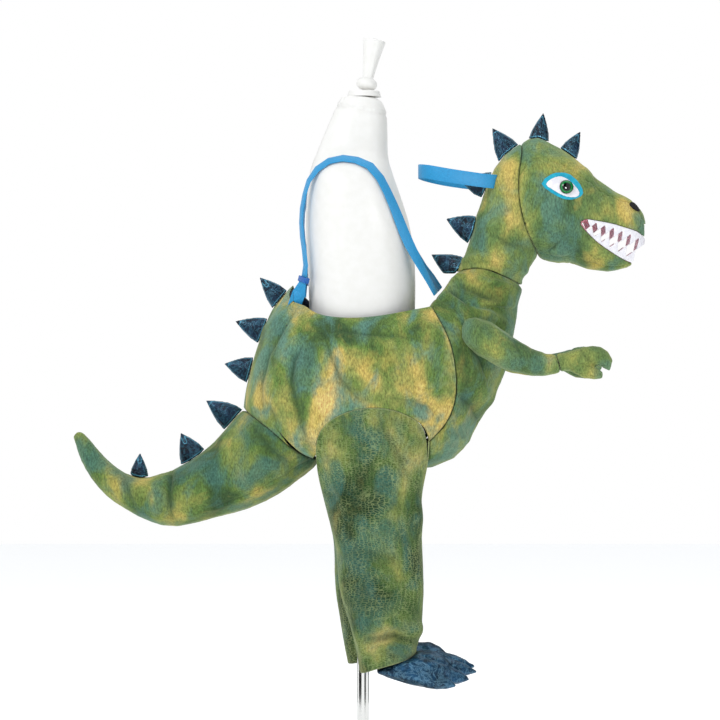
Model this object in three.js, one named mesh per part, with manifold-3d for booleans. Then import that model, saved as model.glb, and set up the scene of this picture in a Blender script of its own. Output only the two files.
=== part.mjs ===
// Ride-on dinosaur costume worn by a limbless dress form on a stand.
// Millimetres, +Z up. The dinosaur faces +X and its right side is -Y.
// The origin is on the floor, under the middle of the stand's round base.
import * as THREE from "three";
import { mergeVertices } from "three/addons/utils/BufferGeometryUtils.js";
import Module from "manifold-3d";

const wasm = await Module();
wasm.setup();
const { Manifold } = wasm;
const { Vector2, Vector3 } = THREE;
const { lerp, clamp, degToRad, smoothstep } = THREE.MathUtils;

// Driving sizes
const seamGap = 0.3; // between two sewn pieces
const clothThick = 2.4; // short plush with its backing
const feltThick = 1.6;
const webThick = 1.6;
const strapWide = 20; // shoulder straps
const anchorWide = 24; // lower strap ends and the rein
const legApart = 81; // leg centre line to the middle plane
const poleRadius = 11;
const baseRadius = 155;
const baseHigh = 9;
const liningRows = 2; // rows of the body panel that the waist lining covers
const far = 900; // further than any piece reaches

// Turns rows of numbers into rows with named columns.
function table(columns, rows) {
  const names = columns.split(" ");
  return rows.map((row) => Object.fromEntries(names.map((name, i) => [name, row[i]])));
}

// Horizontal sections of the trunk: the wearer's hollow at the back, the stuffed chest in front.
const trunk = table("z back front half", [
  [862, -112, 292, 60],
  [841, -129, 291, 68],
  [814, -153, 284, 86],
  [796, -167, 281, 103],
  [781, -173, 280, 115],
  [760, -181, 276, 127],
  [733, -191, 271, 136],
  [697, -202, 263, 142],
  [661, -211, 249, 145],
  [616, -217, 226, 145],
  [580, -208, 205, 143],
  [549, -174, 187, 138],
  [531, -140, 170, 131],
  [519, -116, 150, 122],
  [511, -98, 126, 108],
]);
const trunkRound = { rear: 2.5, front: 2.05 }; // how square the sections are

// Edge of the waist opening, from the centre of the back to the chest.
const waistEdge = table("x z", [
  [-129, 841],
  [-137, 822],
  [-126, 811],
  [-106, 806],
  [-92, 795],
  [-76, 788],
  [-52, 784],
  [-20, 782],
  [12, 784],
  [48, 789],
  [84, 796],
  [106, 800],
  [121, 803],
]);

// The left edge stands a little higher at the back, so that the lining shows over the right one.
const waistEdgeLeft = table("x z", [
  [-129, 841],
  [-130, 834],
  [-117, 828],
  [-103, 819],
  [-92, 806],
  [-78, 794],
  ...waistEdge.slice(6).map(({ x, z }) => [x, z]),
]);

// Seam between the body panels and the chest, and the chest's own rear face above it.
const chestSeam = table("z x", [
  [870, 165],
  [842, 153],
  [832, 145],
  [817, 133],
  [803, 121],
  [782, 133],
  [760, 145],
  [733, 156],
  [700, 163],
  [667, 166],
  [640, 165],
  [618, 160],
  [596, 150],
  [580, 138],
  [562, 119],
  [549, 118],
  [500, 117],
]);

// Seam across the throat where the neck is set into the chest.
const throatSeam = table("x z", [
  [120, 842],
  [153, 843],
  [167, 862],
  [180, 868],
  [205, 871],
  [226, 867],
  [246, 859],
  [268, 850],
  [283, 843],
  [330, 841],
]);

// Neck sections, each from a point on the nape to one on the throat.
const neck = table("napeX napeZ throatX throatZ half", [
  [137, 806, 280, 800, 78],
  [153, 842, 292, 836, 68],
  [166, 862, 290, 850, 62],
  [179, 883, 299, 866, 59],
  [190, 914, 317, 893, 58],
  [200, 945, 324, 930, 59],
  [209, 976, 326, 970, 60],
  [217, 1003, 328, 1005, 60],
  [226, 1030, 328, 1040, 59],
  [239, 1055, 322, 1068, 55],
  [256, 1077, 312, 1090, 45],
  [274, 1091, 304, 1101, 29],
  [288, 1100, 299, 1105, 11],
]);

// Upright sections of the head, from the back of the cheeks to the nose.
const head = table("x top bottom half", [
  [254, 1069, 972, 45],
  [272, 1086, 930, 55],
  [286, 1097, 907, 60],
  [301, 1107, 897, 64],
  [317, 1110, 890, 66],
  [337, 1102, 885, 67],
  [355, 1092, 881, 66],
  [371, 1082, 884, 64],
  [389, 1069, 878, 61],
  [407, 1054, 871, 58],
  [425, 1035, 868, 55],
  [443, 1022, 866, 52],
  [461, 1010, 868, 49],
  [479, 1001, 873, 45],
  [491, 994, 880, 41],
  [502, 983, 891, 34],
  [509, 971, 905, 24],
  [514, 953, 922, 9],
]);
const headRound = 2.3;

// Seam behind the cheek, between the face and the neck.
const cheekSeam = table("z x", [
  [1130, 290],
  [1078, 286],
  [1052, 282],
  [1030, 280],
  [1003, 280],
  [976, 284],
  [943, 294],
  [916, 307],
  [893, 321],
  [860, 336],
]);

// Half-widths of the crown strip and of the chin strip, between the two side panels of the head.
const crownStrip = table("x half", [
  [240, 50],
  [317, 54],
  [353, 50],
  [389, 46],
  [425, 39],
  [461, 32],
  [485, 24],
  [540, 22],
]);
const chinStrip = table("x half", [
  [240, 30],
  [389, 30],
  [425, 28],
  [461, 21],
  [540, 16],
]);

// The open mouth in side view: lip lines from the corner to the nose and to the tip of the jaw.
const upperLip = table("x z", [
  [391, 955],
  [396, 960],
  [425, 956],
  [452, 951],
  [475, 944],
  [493, 939],
  [504, 932],
  [516, 922],
]);
const lowerLip = table("x z", [
  [391, 949],
  [407, 931],
  [425, 915],
  [446, 901],
  [464, 890],
  [475, 885],
  [487, 881],
]);
const mouthLining = 1.8;

// Seam where the tail is set into the body, from the centre of the back to the leg.
const tailSeam = table("x z", [
  [-230, 620],
  [-211, 612],
  [-196, 603],
  [-178, 591],
  [-158, 575],
  [-140, 559],
  [-122, 544],
  [-106, 535],
  [-91, 531],
]);

// Tail sections, each from a point on the top line to one on the bottom line.
const tail = table("topX topZ bottomX bottomZ half", [
  [-170, 648, -50, 560, 104],
  [-216, 617, -88, 511, 106],
  [-236, 598, -115, 489, 101],
  [-263, 565, -152, 462, 90],
  [-297, 535, -205, 436, 77],
  [-335, 512, -268, 419, 69],
  [-372, 497, -335, 403, 60],
  [-403, 493, -385, 411, 51],
  [-430, 500, -430, 434, 43],
  [-452, 514, -466, 459, 35],
  [-474, 535, -494, 491, 27],
  [-493, 558, -512, 522, 20],
  [-508, 573, -521, 548, 13],
  [-518, 577, -527, 566, 7],
]);

// Arm and finger sections, each from a point on the top line to one on the bottom line.
const arm = table("topX topZ bottomX bottomZ side half", [
  [175, 766, 174, 740, -100, 12],
  [183, 780, 186, 728, -104, 26],
  [200, 782, 204, 714, -108, 32],
  [224, 775, 229, 700, -110, 33],
  [252, 758, 252, 689, -109, 32],
  [276, 742, 274, 682, -107, 30],
  [300, 727, 301, 677, -105, 27],
  [325, 717, 327, 677, -103, 24],
  [343, 716, 352, 683, -102, 21],
]);
const palm = table("topX topZ bottomX bottomZ side half", [
  [344, 716, 353, 684, -102, 20],
  [360, 719, 362, 686, -102, 21],
  [376, 724, 376, 684, -102, 22],
  [390, 728, 392, 690, -102, 23],
  [408, 731, 408, 694, -101, 22],
  [424, 729, 424, 694, -100, 20],
  [437, 721, 436, 687, -100, 15],
  [445, 706, 440, 685, -100, 8],
]);
const thumb = table("topX topZ bottomX bottomZ side half", [
  [362, 708, 362, 690, -106, 8],
  [376, 704, 378, 681, -108, 13],
  [396, 700, 394, 673, -109, 15],
  [414, 694, 412, 671, -108, 13],
  [427, 685, 426, 672, -107, 7],
]);

// Horizontal sections of one leg. drop is how far the far hem strays behind.
const leg = table("z back front half stray", [
  [556, -86, 121, 60, 0],
  [529, -87, 118, 60, 0],
  [511, -84, 111, 60, 0],
  [490, -80, 107, 60, 0],
  [468, -72, 104, 59, 1],
  [445, -67, 104, 58, 2],
  [421, -62, 104, 57, 3],
  [400, -56, 105, 56, 4],
  [382, -49, 106, 56, 5],
  [355, -46, 107, 55, 6],
  [319, -46, 109, 55, 7],
  [292, -44, 109, 54, 9],
  [274, -38, 108, 53, 12],
  [252, -31, 107, 52, 16],
  [229, -21, 106, 51, 21],
  [206, -14, 104, 50, 24],
  [190, -13, 98, 48, 24],
  [176, -12, 92, 46, 23],
  [150, -6, 76, 43, 22],
]);
const legRound = 2.3;

// Seam of the thigh on the body panel, from the back of the leg over to the front.
const thighSeam = table("x z", [
  [-84, 556],
  [-82, 568],
  [-76, 582],
  [-62, 597],
  [-44, 608],
  [-22, 616],
  [6, 621],
  [32, 621],
  [58, 616],
  [80, 607],
  [100, 595],
  [112, 583],
  [118, 570],
  [119, 562],
]);

// Foot and toe sections, each from a point on the top line to one on the sole line.
const foot = table("topX topZ bottomX bottomZ side half", [
  [26, 152, 24, 146, -80, 22],
  [40, 162, 42, 139, -80, 34],
  [58, 172, 62, 131, -80, 43],
  [80, 180, 82, 125, -80, 49],
  [100, 186, 103, 121, -80, 52],
  [122, 186, 124, 118, -80, 51],
  [142, 178, 144, 121, -80, 44],
  [154, 166, 156, 132, -80, 30],
]);
const toes = [
  { tip: [206, -46, 144], root: [108, -56, 159], thick: 22, high: 19 },
  { tip: [191, -84, 134], root: [104, -82, 152], thick: 23, high: 21 },
  { tip: [166, -118, 126], root: [88, -106, 148], thick: 22, high: 19 },
];

// Back spikes: the two ends of each root on the middle line, and its tip.
const spikes = table("name rearX rearZ frontX frontZ tipX tipZ", [
  ["crown_front", 358, 1091, 389, 1070, 395, 1121],
  ["crown_top", 300, 1107, 338, 1102, 328, 1155],
  ["crown_rear", 245, 1067, 284, 1096, 235, 1127],
  ["nape_top", 213, 1001, 231, 1048, 180, 1029],
  ["nape_middle", 190, 917, 209, 967, 151, 962],
  ["nape_low", 158, 851, 184, 893, 124, 897],
  ["back_high", -166, 800, -138, 833, -188, 856],
  ["back_upper", -190, 735, -173, 782, -232, 776],
  ["back_middle", -212, 664, -199, 711, -252, 699],
  ["back_low", -254, 580, -229, 623, -285, 632],
  ["tail_upper", -331, 515, -287, 543, -331, 573],
  ["tail_low", -424, 497, -389, 493, -405, 537],
]);
const spikeHalf = 13; // half the thickness of a stuffed spike at its root

// Dress form: horizontal sections of the torso from the neck down.
const torso = table("z back front half", [
  [1168, -47, 39, 42],
  [1156, -54, 44, 45],
  [1125, -67, 45, 48],
  [1098, -78, 45, 53],
  [1078, -86, 46, 64],
  [1064, -92, 48, 80],
  [1052, -96, 52, 95],
  [1036, -99, 57, 107],
  [1003, -103, 69, 115],
  [958, -105, 84, 117],
  [904, -104, 95, 113],
  [850, -100, 97, 105],
  [796, -97, 96, 98],
  [742, -97, 93, 98],
  [688, -99, 89, 102],
  [634, -94, 82, 99],
  [596, -76, 66, 80],
  [574, -50, 44, 52],
]);
const torsoRound = 2.35;
const neckTilt = degToRad(10);

// Colours seen on the object
const finish = {
  plush: new THREE.MeshStandardMaterial({ color: 0x6f8544, roughness: 0.95 }),
  hide: new THREE.MeshStandardMaterial({ color: 0x4c6b3c, roughness: 0.85 }),
  foil: new THREE.MeshStandardMaterial({ color: 0x1d4560, roughness: 0.4, metalness: 0.35 }),
  web: new THREE.MeshStandardMaterial({ color: 0x1d93d6, roughness: 0.7 }),
  lining: new THREE.MeshStandardMaterial({ color: 0x16203a, roughness: 0.9 }),
  satin: new THREE.MeshStandardMaterial({ color: 0xf1eff4, roughness: 0.5 }),
  pink: new THREE.MeshStandardMaterial({ color: 0xc9647d, roughness: 0.8 }),
  aqua: new THREE.MeshStandardMaterial({ color: 0x14a9cf, roughness: 0.9 }),
  black: new THREE.MeshStandardMaterial({ color: 0x1b1a24, roughness: 0.8 }),
  eye: new THREE.MeshStandardMaterial({ color: 0x14532f, roughness: 0.1 }),
  shell: new THREE.MeshStandardMaterial({ color: 0xf3f2ee, roughness: 0.45 }),
  steel: new THREE.MeshStandardMaterial({ color: 0xc8c8c4, roughness: 0.2, metalness: 1 }),
  buckle: new THREE.MeshStandardMaterial({ color: 0x1c6fc0, roughness: 0.35 }),
};

const costume = new THREE.Group();

// A smooth value of one column of a table at a place along another column.
function read(rows, along, place, column) {
  const list = rows[0][along] > rows.at(-1)[along] ? [...rows].reverse() : rows;
  const key = clamp(place, list[0][along], list.at(-1)[along]);
  let i = 0;
  while (i < list.length - 2 && key > list[i + 1][along]) i += 1;
  const slope = (j) => {
    const before = list[Math.max(j - 1, 0)];
    const after = list[Math.min(j + 1, list.length - 1)];
    return (after[column] - before[column]) / (after[along] - before[along]);
  };
  const span = list[i + 1][along] - list[i][along];
  const t = (key - list[i][along]) / span;
  const rise = t * t * (3 - 2 * t);
  const leave = t * (1 - t) * (1 - t) * span * slope(i);
  const arrive = t * t * (1 - t) * span * slope(i + 1);
  return lerp(list[i][column], list[i + 1][column], rise) + leave - arrive;
}

// A count of points spread evenly along the smooth curve through a table's two columns.
function spread(rows, across, up, count) {
  const curve = new THREE.SplineCurve(rows.map((row) => new Vector2(row[across], row[up])));
  return curve.getSpacedPoints(count - 1).map((p) => [p.x, p.y]);
}

// Straight runs through a list of points, by share of their number.
function run(points) {
  return (share) => {
    const place = clamp(share, 0, 1) * (points.length - 1);
    const i = Math.min(Math.floor(place), points.length - 2);
    return points[i].map((value, k) => lerp(value, points[i + 1][k], place - i));
  };
}

// The same line moved sideways, to the left of its direction.
function shifted(points, distance) {
  return points.map(([x, z], i) => {
    const [ax, az] = points[Math.max(i - 1, 0)];
    const [bx, bz] = points[Math.min(i + 1, points.length - 1)];
    const length = Math.hypot(bx - ax, bz - az);
    return [x - (distance * (bz - az)) / length, z + (distance * (bx - ax)) / length];
  });
}

// Smooth closed line through a few points.
function closedLine(points, count = 20) {
  const curve = new THREE.CatmullRomCurve3(points.map(([x, z]) => new Vector3(x, z, 0)), true);
  return curve.getPoints(count).slice(0, -1).map((p) => [p.x, p.y]);
}

// Cosine or sine raised so that an ellipse becomes squarer.
function squared(value, power) {
  return Math.sign(value) * Math.abs(value) ** (2 / power);
}

// A manifold solid from points and faces, turned the right way out.
function solid(points, faces) {
  const build = (triangles) =>
    new Manifold(
      new wasm.Mesh({
        numProp: 3,
        vertProperties: new Float32Array(points.flatMap((p) => [p.x, p.y, p.z])),
        triVerts: new Uint32Array(triangles.flat()),
      }),
    );
  const made = build(faces);
  return made.volume() > 0 ? made : build(faces.map(([a, b, c]) => [a, c, b]));
}

// A solid from a closed surface.
function solidOf(geometry) {
  const bare = geometry.index ? geometry.toNonIndexed() : geometry.clone();
  bare.deleteAttribute("normal");
  bare.deleteAttribute("uv");
  const merged = mergeVertices(bare, 1e-3);
  const place = merged.getAttribute("position");
  const points = [];
  for (let i = 0; i < place.count; i += 1) points.push(new Vector3().fromBufferAttribute(place, i));
  const faces = [];
  const index = merged.index.array;
  for (let i = 0; i < index.length; i += 3) {
    const face = [index[i], index[i + 1], index[i + 2]];
    if (new Set(face).size === 3) faces.push(face);
  }
  return solid(points, faces);
}

// Joins rings of points into one closed solid with its two ends filled.
function loft(rings) {
  const count = rings[0].length;
  const middle = (ring) => ring.reduce((sum, p) => sum.add(p), new Vector3()).divideScalar(count);
  const points = [...rings.flat(), middle(rings[0]), middle(rings.at(-1))];
  const faces = [];
  const last = (rings.length - 1) * count;
  for (let j = 0; j < count; j += 1) {
    const next = (j + 1) % count;
    faces.push([points.length - 2, next, j], [points.length - 1, last + j, last + next]);
    for (let i = 0; i < rings.length - 1; i += 1) {
      const [a, b] = [i * count + j, i * count + next];
      faces.push([a, b, b + count], [a, b + count, a + count]);
    }
  }
  return solid(points, faces);
}

// A cloth wall under a grid of points, from one depth below them to another.
// Where a sewn edge runs down the first or last column, its rim is turned straight back or forward.
function wall(columns, rows, pointAt, middleAt, outer, inner, sewn = [false, false]) {
  const small = 0.004;
  const grid = [];
  const outside = [];
  for (let i = 0; i <= columns; i += 1)
    for (let j = 0; j <= rows; j += 1) {
      const [u, v] = [i / columns, j / rows];
      const across = pointAt(Math.min(u + small, 1), v).sub(pointAt(Math.max(u - small, 0), v));
      const down = pointAt(u, Math.min(v + small, 1)).sub(pointAt(u, Math.max(v - small, 0)));
      const out = across.cross(down).normalize();
      const p = pointAt(u, v);
      if (out.dot(p.clone().sub(middleAt(p))) < 0) out.negate();
      if (i === 0 && sewn[0]) out.set(-1, 0, 0);
      if (i === columns && sewn[1]) out.set(1, 0, 0);
      grid.push(p.clone().addScaledVector(out, -outer));
      outside.push(p.clone().addScaledVector(out, -inner));
    }
  const id = (i, j) => i * (rows + 1) + j;
  const size = grid.length;
  const faces = [];
  const quad = (a, b, c, d) => faces.push([a, b, c], [a, c, d]);
  for (let i = 0; i < columns; i += 1)
    for (let j = 0; j < rows; j += 1) {
      const corners = [id(i, j), id(i + 1, j), id(i + 1, j + 1), id(i, j + 1)];
      quad(...corners);
      quad(...corners.map((n) => n + size).reverse());
    }
  const rim = [];
  for (let i = 0; i < columns; i += 1) rim.push(id(i, 0));
  for (let j = 0; j < rows; j += 1) rim.push(id(columns, j));
  for (let i = columns; i > 0; i -= 1) rim.push(id(i, rows));
  for (let j = rows; j > 0; j -= 1) rim.push(id(0, j));
  rim.forEach((a, n) => {
    const b = rim[(n + 1) % rim.length];
    quad(b, a, a + size, b + size);
  });
  return solid([...grid, ...outside], faces);
}

// A side-view outline carried straight across from y0 to y1.
function prism(corners, y0 = -far, y1 = far) {
  const shape = new THREE.Shape(corners.map(([x, z]) => new Vector2(x, z)));
  const block = new THREE.ExtrudeGeometry(shape, { depth: y1 - y0, bevelEnabled: false });
  block.rotateX(Math.PI / 2);
  block.translate(0, y1, 0);
  return solidOf(block);
}

// A plan-view outline carried up from z0 to z1.
function slab(corners, z0, z1) {
  const shape = new THREE.Shape(corners.map(([x, y]) => new Vector2(x, y)));
  const block = new THREE.ExtrudeGeometry(shape, { depth: z1 - z0, bevelEnabled: false });
  block.translate(0, 0, z0);
  return solidOf(block);
}

const rightSpace = slab(
  [[-far, -far], [far, -far], [far, -seamGap / 2], [-far, -seamGap / 2]], -far, 2 * far,
);

function mirrored(whole) {
  return whole.mirror([0, 1, 0]);
}

// The largest of the loose parts that a cut leaves.
function largest(cut) {
  return cut.decompose().sort((a, b) => b.volume() - a.volume())[0];
}

// Adds a solid to the costume as a named mesh.
function add(name, made, material, fine = 0.14) {
  const { numProp, vertProperties, triVerts } = made.simplify(fine).getMesh();
  const place = new Float32Array((vertProperties.length / numProp) * 3);
  for (let i = 0; i < place.length / 3; i += 1)
    for (let k = 0; k < 3; k += 1) place[3 * i + k] = vertProperties[i * numProp + k];
  const geometry = new THREE.BufferGeometry();
  geometry.setAttribute("position", new THREE.BufferAttribute(place, 3));
  geometry.setIndex(new THREE.BufferAttribute(new Uint32Array(triVerts), 1));
  geometry.computeVertexNormals();
  const mesh = new THREE.Mesh(geometry, material);
  mesh.name = name;
  costume.add(mesh);
}

// Adds a right piece and its mirror image on the left.
function addPair(name, right, material, fine) {
  add(`${name}_right`, right, material, fine);
  add(`${name}_left`, mirrored(right), material, fine);
}

// Stuffed tube through a table of sections that run between a high and a low point in side view.
function stuffed(rows, ends, { sides = 16, steps = 2, power = 2.1, grow = 0 } = {}) {
  const [highX, highZ, lowX, lowZ] = ends;
  const numbered = rows.map((row, step) => ({ ...row, step }));
  const rings = [];
  for (let n = 0; n <= (rows.length - 1) * steps; n += 1) {
    const get = (name) => read(numbered, "step", n / steps, name);
    const side = rows[0].side === undefined ? 0 : get("side");
    const high = new Vector2(get(highX), get(highZ));
    const low = new Vector2(get(lowX), get(lowZ));
    const centre = high.clone().add(low).multiplyScalar(0.5);
    const reach = high.clone().sub(low).multiplyScalar(0.5);
    reach.setLength(reach.length() + grow);
    const half = get("half") + grow;
    rings.push(
      Array.from({ length: sides }, (_, i) => {
        const turn = (2 * Math.PI * i) / sides;
        const up = squared(Math.cos(turn), power);
        const out = squared(Math.sin(turn), power) * half;
        return new Vector3(centre.x + reach.x * up, side + out, centre.y + reach.y * up);
      }),
    );
  }
  return loft(rings);
}

// Trunk
// A point of its surface at a height and a turn, from the front (0) round the right side to the back (pi).
function trunkPoint(turn, z, grow = 0) {
  const back = read(trunk, "z", z, "back") - grow;
  const front = read(trunk, "z", z, "front") + grow;
  const half = read(trunk, "z", z, "half") + grow;
  const power = Math.cos(turn) < 0 ? trunkRound.rear : trunkRound.front;
  return new Vector3(
    (front + back) / 2 + ((front - back) / 2) * squared(Math.cos(turn), power),
    -half * squared(Math.sin(turn), power),
    z,
  );
}

// The turn at which the trunk's section reaches a given x.
function trunkTurn(x, z) {
  const back = read(trunk, "z", z, "back");
  const front = read(trunk, "z", z, "front");
  const share = clamp((2 * x - front - back) / (front - back), -1, 1);
  const power = share < 0 ? trunkRound.rear : trunkRound.front;
  return Math.acos(Math.sign(share) * Math.abs(share) ** (power / 2));
}

function trunkSolid(grow) {
  const rings = [];
  const levels = 16;
  for (let i = 0; i <= levels; i += 1) {
    const z = lerp(trunk[0].z, trunk.at(-1).z, (i / levels) * (1.25 - (0.25 * i) / levels));
    const end = i === 0 ? grow : i === levels ? -grow : 0;
    rings.push(
      Array.from({ length: 32 }, (_, j) => trunkPoint((Math.PI * j) / 16, z, grow).setZ(z + end)),
    );
  }
  return loft(rings);
}

const bodyColumns = 20;
const bodyRows = 11;
const archColumns = 12;
const tailSeamLine = spread(tailSeam, "x", "z", bodyColumns - archColumns);
const archLine = spread(thighSeam, "x", "z", archColumns + 1);

// Folds drawn in the cloth of the body, in side view.
const bodyFolds = table("x0 z0 x1 z1 high wide", [
  [-96, 768, -140, 640, 4, 13],
  [-92, 764, -62, 650, -4, 12],
  [-110, 770, -178, 690, -4, 13],
  [-194, 752, -100, 776, 4, 12],
  [-186, 690, -112, 560, 4, 15],
  [-30, 640, -92, 566, -4, 13],
  [60, 762, 146, 734, 4, 11],
  [48, 740, 128, 716, -4, 12],
  [10, 770, 30, 660, 3, 20],
  [70, 640, 150, 660, 3, 14],
]);

function foldHeight(x, z, folds) {
  return folds.reduce((sum, { x0, z0, x1, z1, high, wide }) => {
    const [dx, dz] = [x1 - x0, z1 - z0];
    const along = clamp(((x - x0) * dx + (z - z0) * dz) / (dx * dx + dz * dz), 0, 1);
    const off = Math.hypot(x - x0 - along * dx, z - z0 - along * dz) / wide;
    return sum + high * Math.exp(-off * off) * Math.sin(Math.PI * (0.15 + 0.7 * along));
  }, 0);
}

function bodyPoint(edge) {
  const onTrunk = ([x, z]) => [trunkTurn(x, z), z];
  const topLine = run(spread(edge, "x", "z", bodyColumns + 1).map(onTrunk));
  const bottomLine = run([...tailSeamLine, ...archLine].map(onTrunk));
  const [topEnd, bottomEnd] = [topLine(1)[1], bottomLine(1)[1]];
  return (u, v) => {
    const top = topLine(u);
    const bottom = bottomLine(u);
    const rear = [Math.PI, lerp(topLine(0)[1], bottomLine(0)[1], v)];
    const seamZ = lerp(topEnd, bottomEnd, v);
    const front = onTrunk([read(chestSeam, "z", seamZ, "x"), seamZ]);
    const [turn, z] = [0, 1].map((k) => {
      const flatTop = lerp(topLine(0)[k], topLine(1)[k], u);
      const flatBottom = lerp(bottomLine(0)[k], bottomLine(1)[k], u);
      return lerp(top[k], bottom[k], v) + lerp(rear[k], front[k], u) - lerp(flatTop, flatBottom, v);
    });
    const plain = trunkPoint(turn, z);
    const inside = smoothstep(Math.min(u, 1 - u, v, 1 - v), 0, 0.12);
    const lift = inside * foldHeight(plain.x, plain.z, bodyFolds);
    const p = trunkPoint(turn, z, lift);
    p.y = Math.min(p.y, -seamGap / 2);
    return p;
  };
}
const bodyAt = bodyPoint(waistEdge);
const bodyAtLeft = bodyPoint(waistEdgeLeft);
const trunkMiddle = (p) => new Vector3(clamp(p.x, -60, 90), 0, clamp(p.z, 640, 740));
const bodyWall = (at, outer, inner) =>
  wall(bodyColumns, bodyRows, at, trunkMiddle, outer, inner, [true, false]);
add("body_right", bodyWall(bodyAt, 0, clothThick), finish.plush);
add("body_left", mirrored(bodyWall(bodyAtLeft, 0, clothThick)), finish.plush);

// The lining follows the inside of the opening, round the back from one chest seam to the other.
const liningAt = (u, v) => {
  const at = u < 0.5 ? bodyAtLeft : bodyAt;
  const p = at((Math.abs(2 * u - 1) * (bodyColumns - 1)) / bodyColumns, (v * liningRows) / bodyRows);
  if (u < 0.5) p.y = -p.y;
  if (Math.abs(2 * u - 1) < 0.0005) p.y = 0;
  return p;
};
add(
  "waist_lining",
  wall(2 * bodyColumns - 2, liningRows, liningAt, trunkMiddle, clothThick + 1.3, clothThick + 2.3),
  finish.lining,
);

// Legs
const legTop = shifted(archLine, -seamGap - 0.05);

function legPoint(turn, z, stray) {
  const back = read(leg, "z", z, "back") - stray * read(leg, "z", z, "stray");
  const front = read(leg, "z", z, "front");
  return new Vector3(
    (front + back) / 2 + ((front - back) / 2) * squared(Math.cos(turn), legRound),
    -legApart - read(leg, "z", z, "half") * squared(Math.sin(turn), legRound),
    z,
  );
}

const legFolds = table("x0 z0 x1 z1 high wide", [
  [20, 600, 90, 470, -4, 16],
  [-60, 560, -20, 420, 4, 16],
  [-50, 330, 60, 350, -3, 14],
  [60, 250, 110, 225, 5, 11],
  [40, 215, 108, 200, -5, 9],
  [-20, 230, 40, 215, 4, 10],
  [-44, 420, 40, 440, 3, 15],
]);

// Both panels of one leg, from the back seam to the front seam and from the thigh to the hem.
function legPanels(stray) {
  const top = run(legTop);
  const hem = (u) => lerp(147, 175, smoothstep(u, 0.1, 0.95));
  const outer = (u, v) => {
    const [x, z0] = top(u);
    const p = legPoint(Math.PI * (1 - u), lerp(z0, hem(u), v), stray);
    p.y = Math.min(p.y, -legApart - seamGap / 2);
    const hold = 1 - smoothstep(v, 0, 0.28);
    p.x = lerp(p.x, x, hold);
    p.y = lerp(p.y, trunkPoint(trunkTurn(x, z0), z0).y, hold);
    const inside = smoothstep(Math.min(u, 1 - u, v, 1 - v), 0, 0.1);
    p.y -= inside * foldHeight(p.x, p.z, legFolds);
    return p;
  };
  const inner = (u, v) => {
    const turn = Math.PI * (1 + u);
    const [x, z1] = top(u < 0.5 ? 0 : 1);
    const z0 = lerp(521, z1, Math.cos(turn) ** 4);
    const p = legPoint(turn, lerp(z0, hem(u), v), stray);
    p.y = Math.max(p.y, -legApart + seamGap / 2);
    const hold = (1 - smoothstep(v, 0, 0.28)) * Math.cos(turn) ** 6;
    p.x = lerp(p.x, x, hold);
    p.y = lerp(p.y, trunkPoint(trunkTurn(x, z1), z1).y + seamGap, hold);
    return p;
  };
  return { outer, inner };
}

// The whole leg as one block, larger all round, for fitting other pieces to it.
function legBlock({ outer, inner }, grow, rows, columns = 12) {
  const rings = [];
  for (let j = 0; j <= rows; j += 1) {
    const ring = [];
    for (let i = 0; i <= columns; i += 1) ring.push(outer(i / columns, j / rows));
    for (let i = columns - 1; i > 0; i -= 1) ring.push(inner(i / columns, j / rows));
    rings.push(
      ring.map((p) => {
        const out = new Vector3(p.x - 18, p.y + legApart, 0).normalize();
        return p.addScaledVector(out, grow).setZ(p.z + (j === 0 ? grow : j === rows ? -grow : 0));
      }),
    );
  }
  return loft(rings);
}

const legMiddle = (p) => new Vector3(clamp(p.x, 15, 50), -legApart, p.z);
const legs = [legPanels(0), legPanels(1)];
const legRows = 9;
const legWall = (panel, grow) =>
  wall(12, legRows, panel, legMiddle, -grow, clothThick + grow, [true, true]);
["right", "left"].forEach((side, n) => {
  for (const part of ["outer", "inner"]) {
    const made = legWall(legs[n][part], 0);
    add(`leg_${part}_${side}`, n ? mirrored(made) : made, finish.hide);
  }
});
const legSpaces = legs.map((panels) =>
  legBlock(panels, 0.6, legRows).add(legWall(panels.outer, 0.5)).add(legWall(panels.inner, 0.5)),
);
const legSpace = legSpaces[0].add(mirrored(legSpaces[1]));

// Neck and chest
const neckEnds = ["napeX", "napeZ", "throatX", "throatZ"];
const neckBlock = (grow) => stuffed(neck, neckEnds, { sides: 14, steps: 1, power: 2.15, grow });
const throatLine = spread(throatSeam.slice(1), "x", "z", 14);
const seamLine = [];
for (let j = 0; j <= bodyRows; j += 1) {
  const p = bodyAt(1, j / bodyRows);
  seamLine.push([p.x + seamGap + 0.05, p.z]);
}
const chestOutline = (gap) => [
  ...shifted(throatLine, -seamGap + gap),
  [500, 841 - seamGap + gap],
  [500, 480],
  [109 - gap, 480],
  [109 - gap, 546],
  ...[...seamLine].reverse().map(([x, z]) => [x - gap, z]),
  [133.5 - gap, 817 + gap],
  [145.5 - gap, 832 + gap],
];
const chestBlock = (grow) =>
  trunkSolid(grow).add(neckBlock(grow)).intersect(prism(chestOutline(grow)));
const chest = chestBlock(0).subtract(legSpace);
addPair("chest", largest(chest.intersect(rightSpace)), finish.plush);

const neckSpace = prism([...throatLine, [500, 841], [500, far * 2], [-200, far * 2], [-200, 843]]);
const cheekLine = spread(cheekSeam, "x", "z", 20);
const headSpace = (gap) => prism([...shifted(cheekLine, -gap), [700, 840], [700, 1200], [290, 1200]]);
const neckWhole = neckBlock(0).intersect(neckSpace).subtract(headSpace(seamGap));
addPair("neck", largest(neckWhole.intersect(rightSpace)), finish.plush);

// The gusset between the legs, with a hole that the pole passes through.
const poleHole = new THREE.CylinderGeometry(poleRadius + 3, poleRadius + 3, 60, 24).rotateX(Math.PI / 2);
const gusset = slab([[-80, -80], [108, -80], [108, 80], [-80, 80]], 514, 514 + clothThick)
  .subtract(legSpace)
  .subtract(solidOf(poleHole.translate(0, 0, 515)))
  .intersect(trunkSolid(-3).add(slab([[-60, -70], [100, -70], [100, 70], [-60, 70]], 500, 530)));
add("crotch_gusset", gusset, finish.plush);

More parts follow.
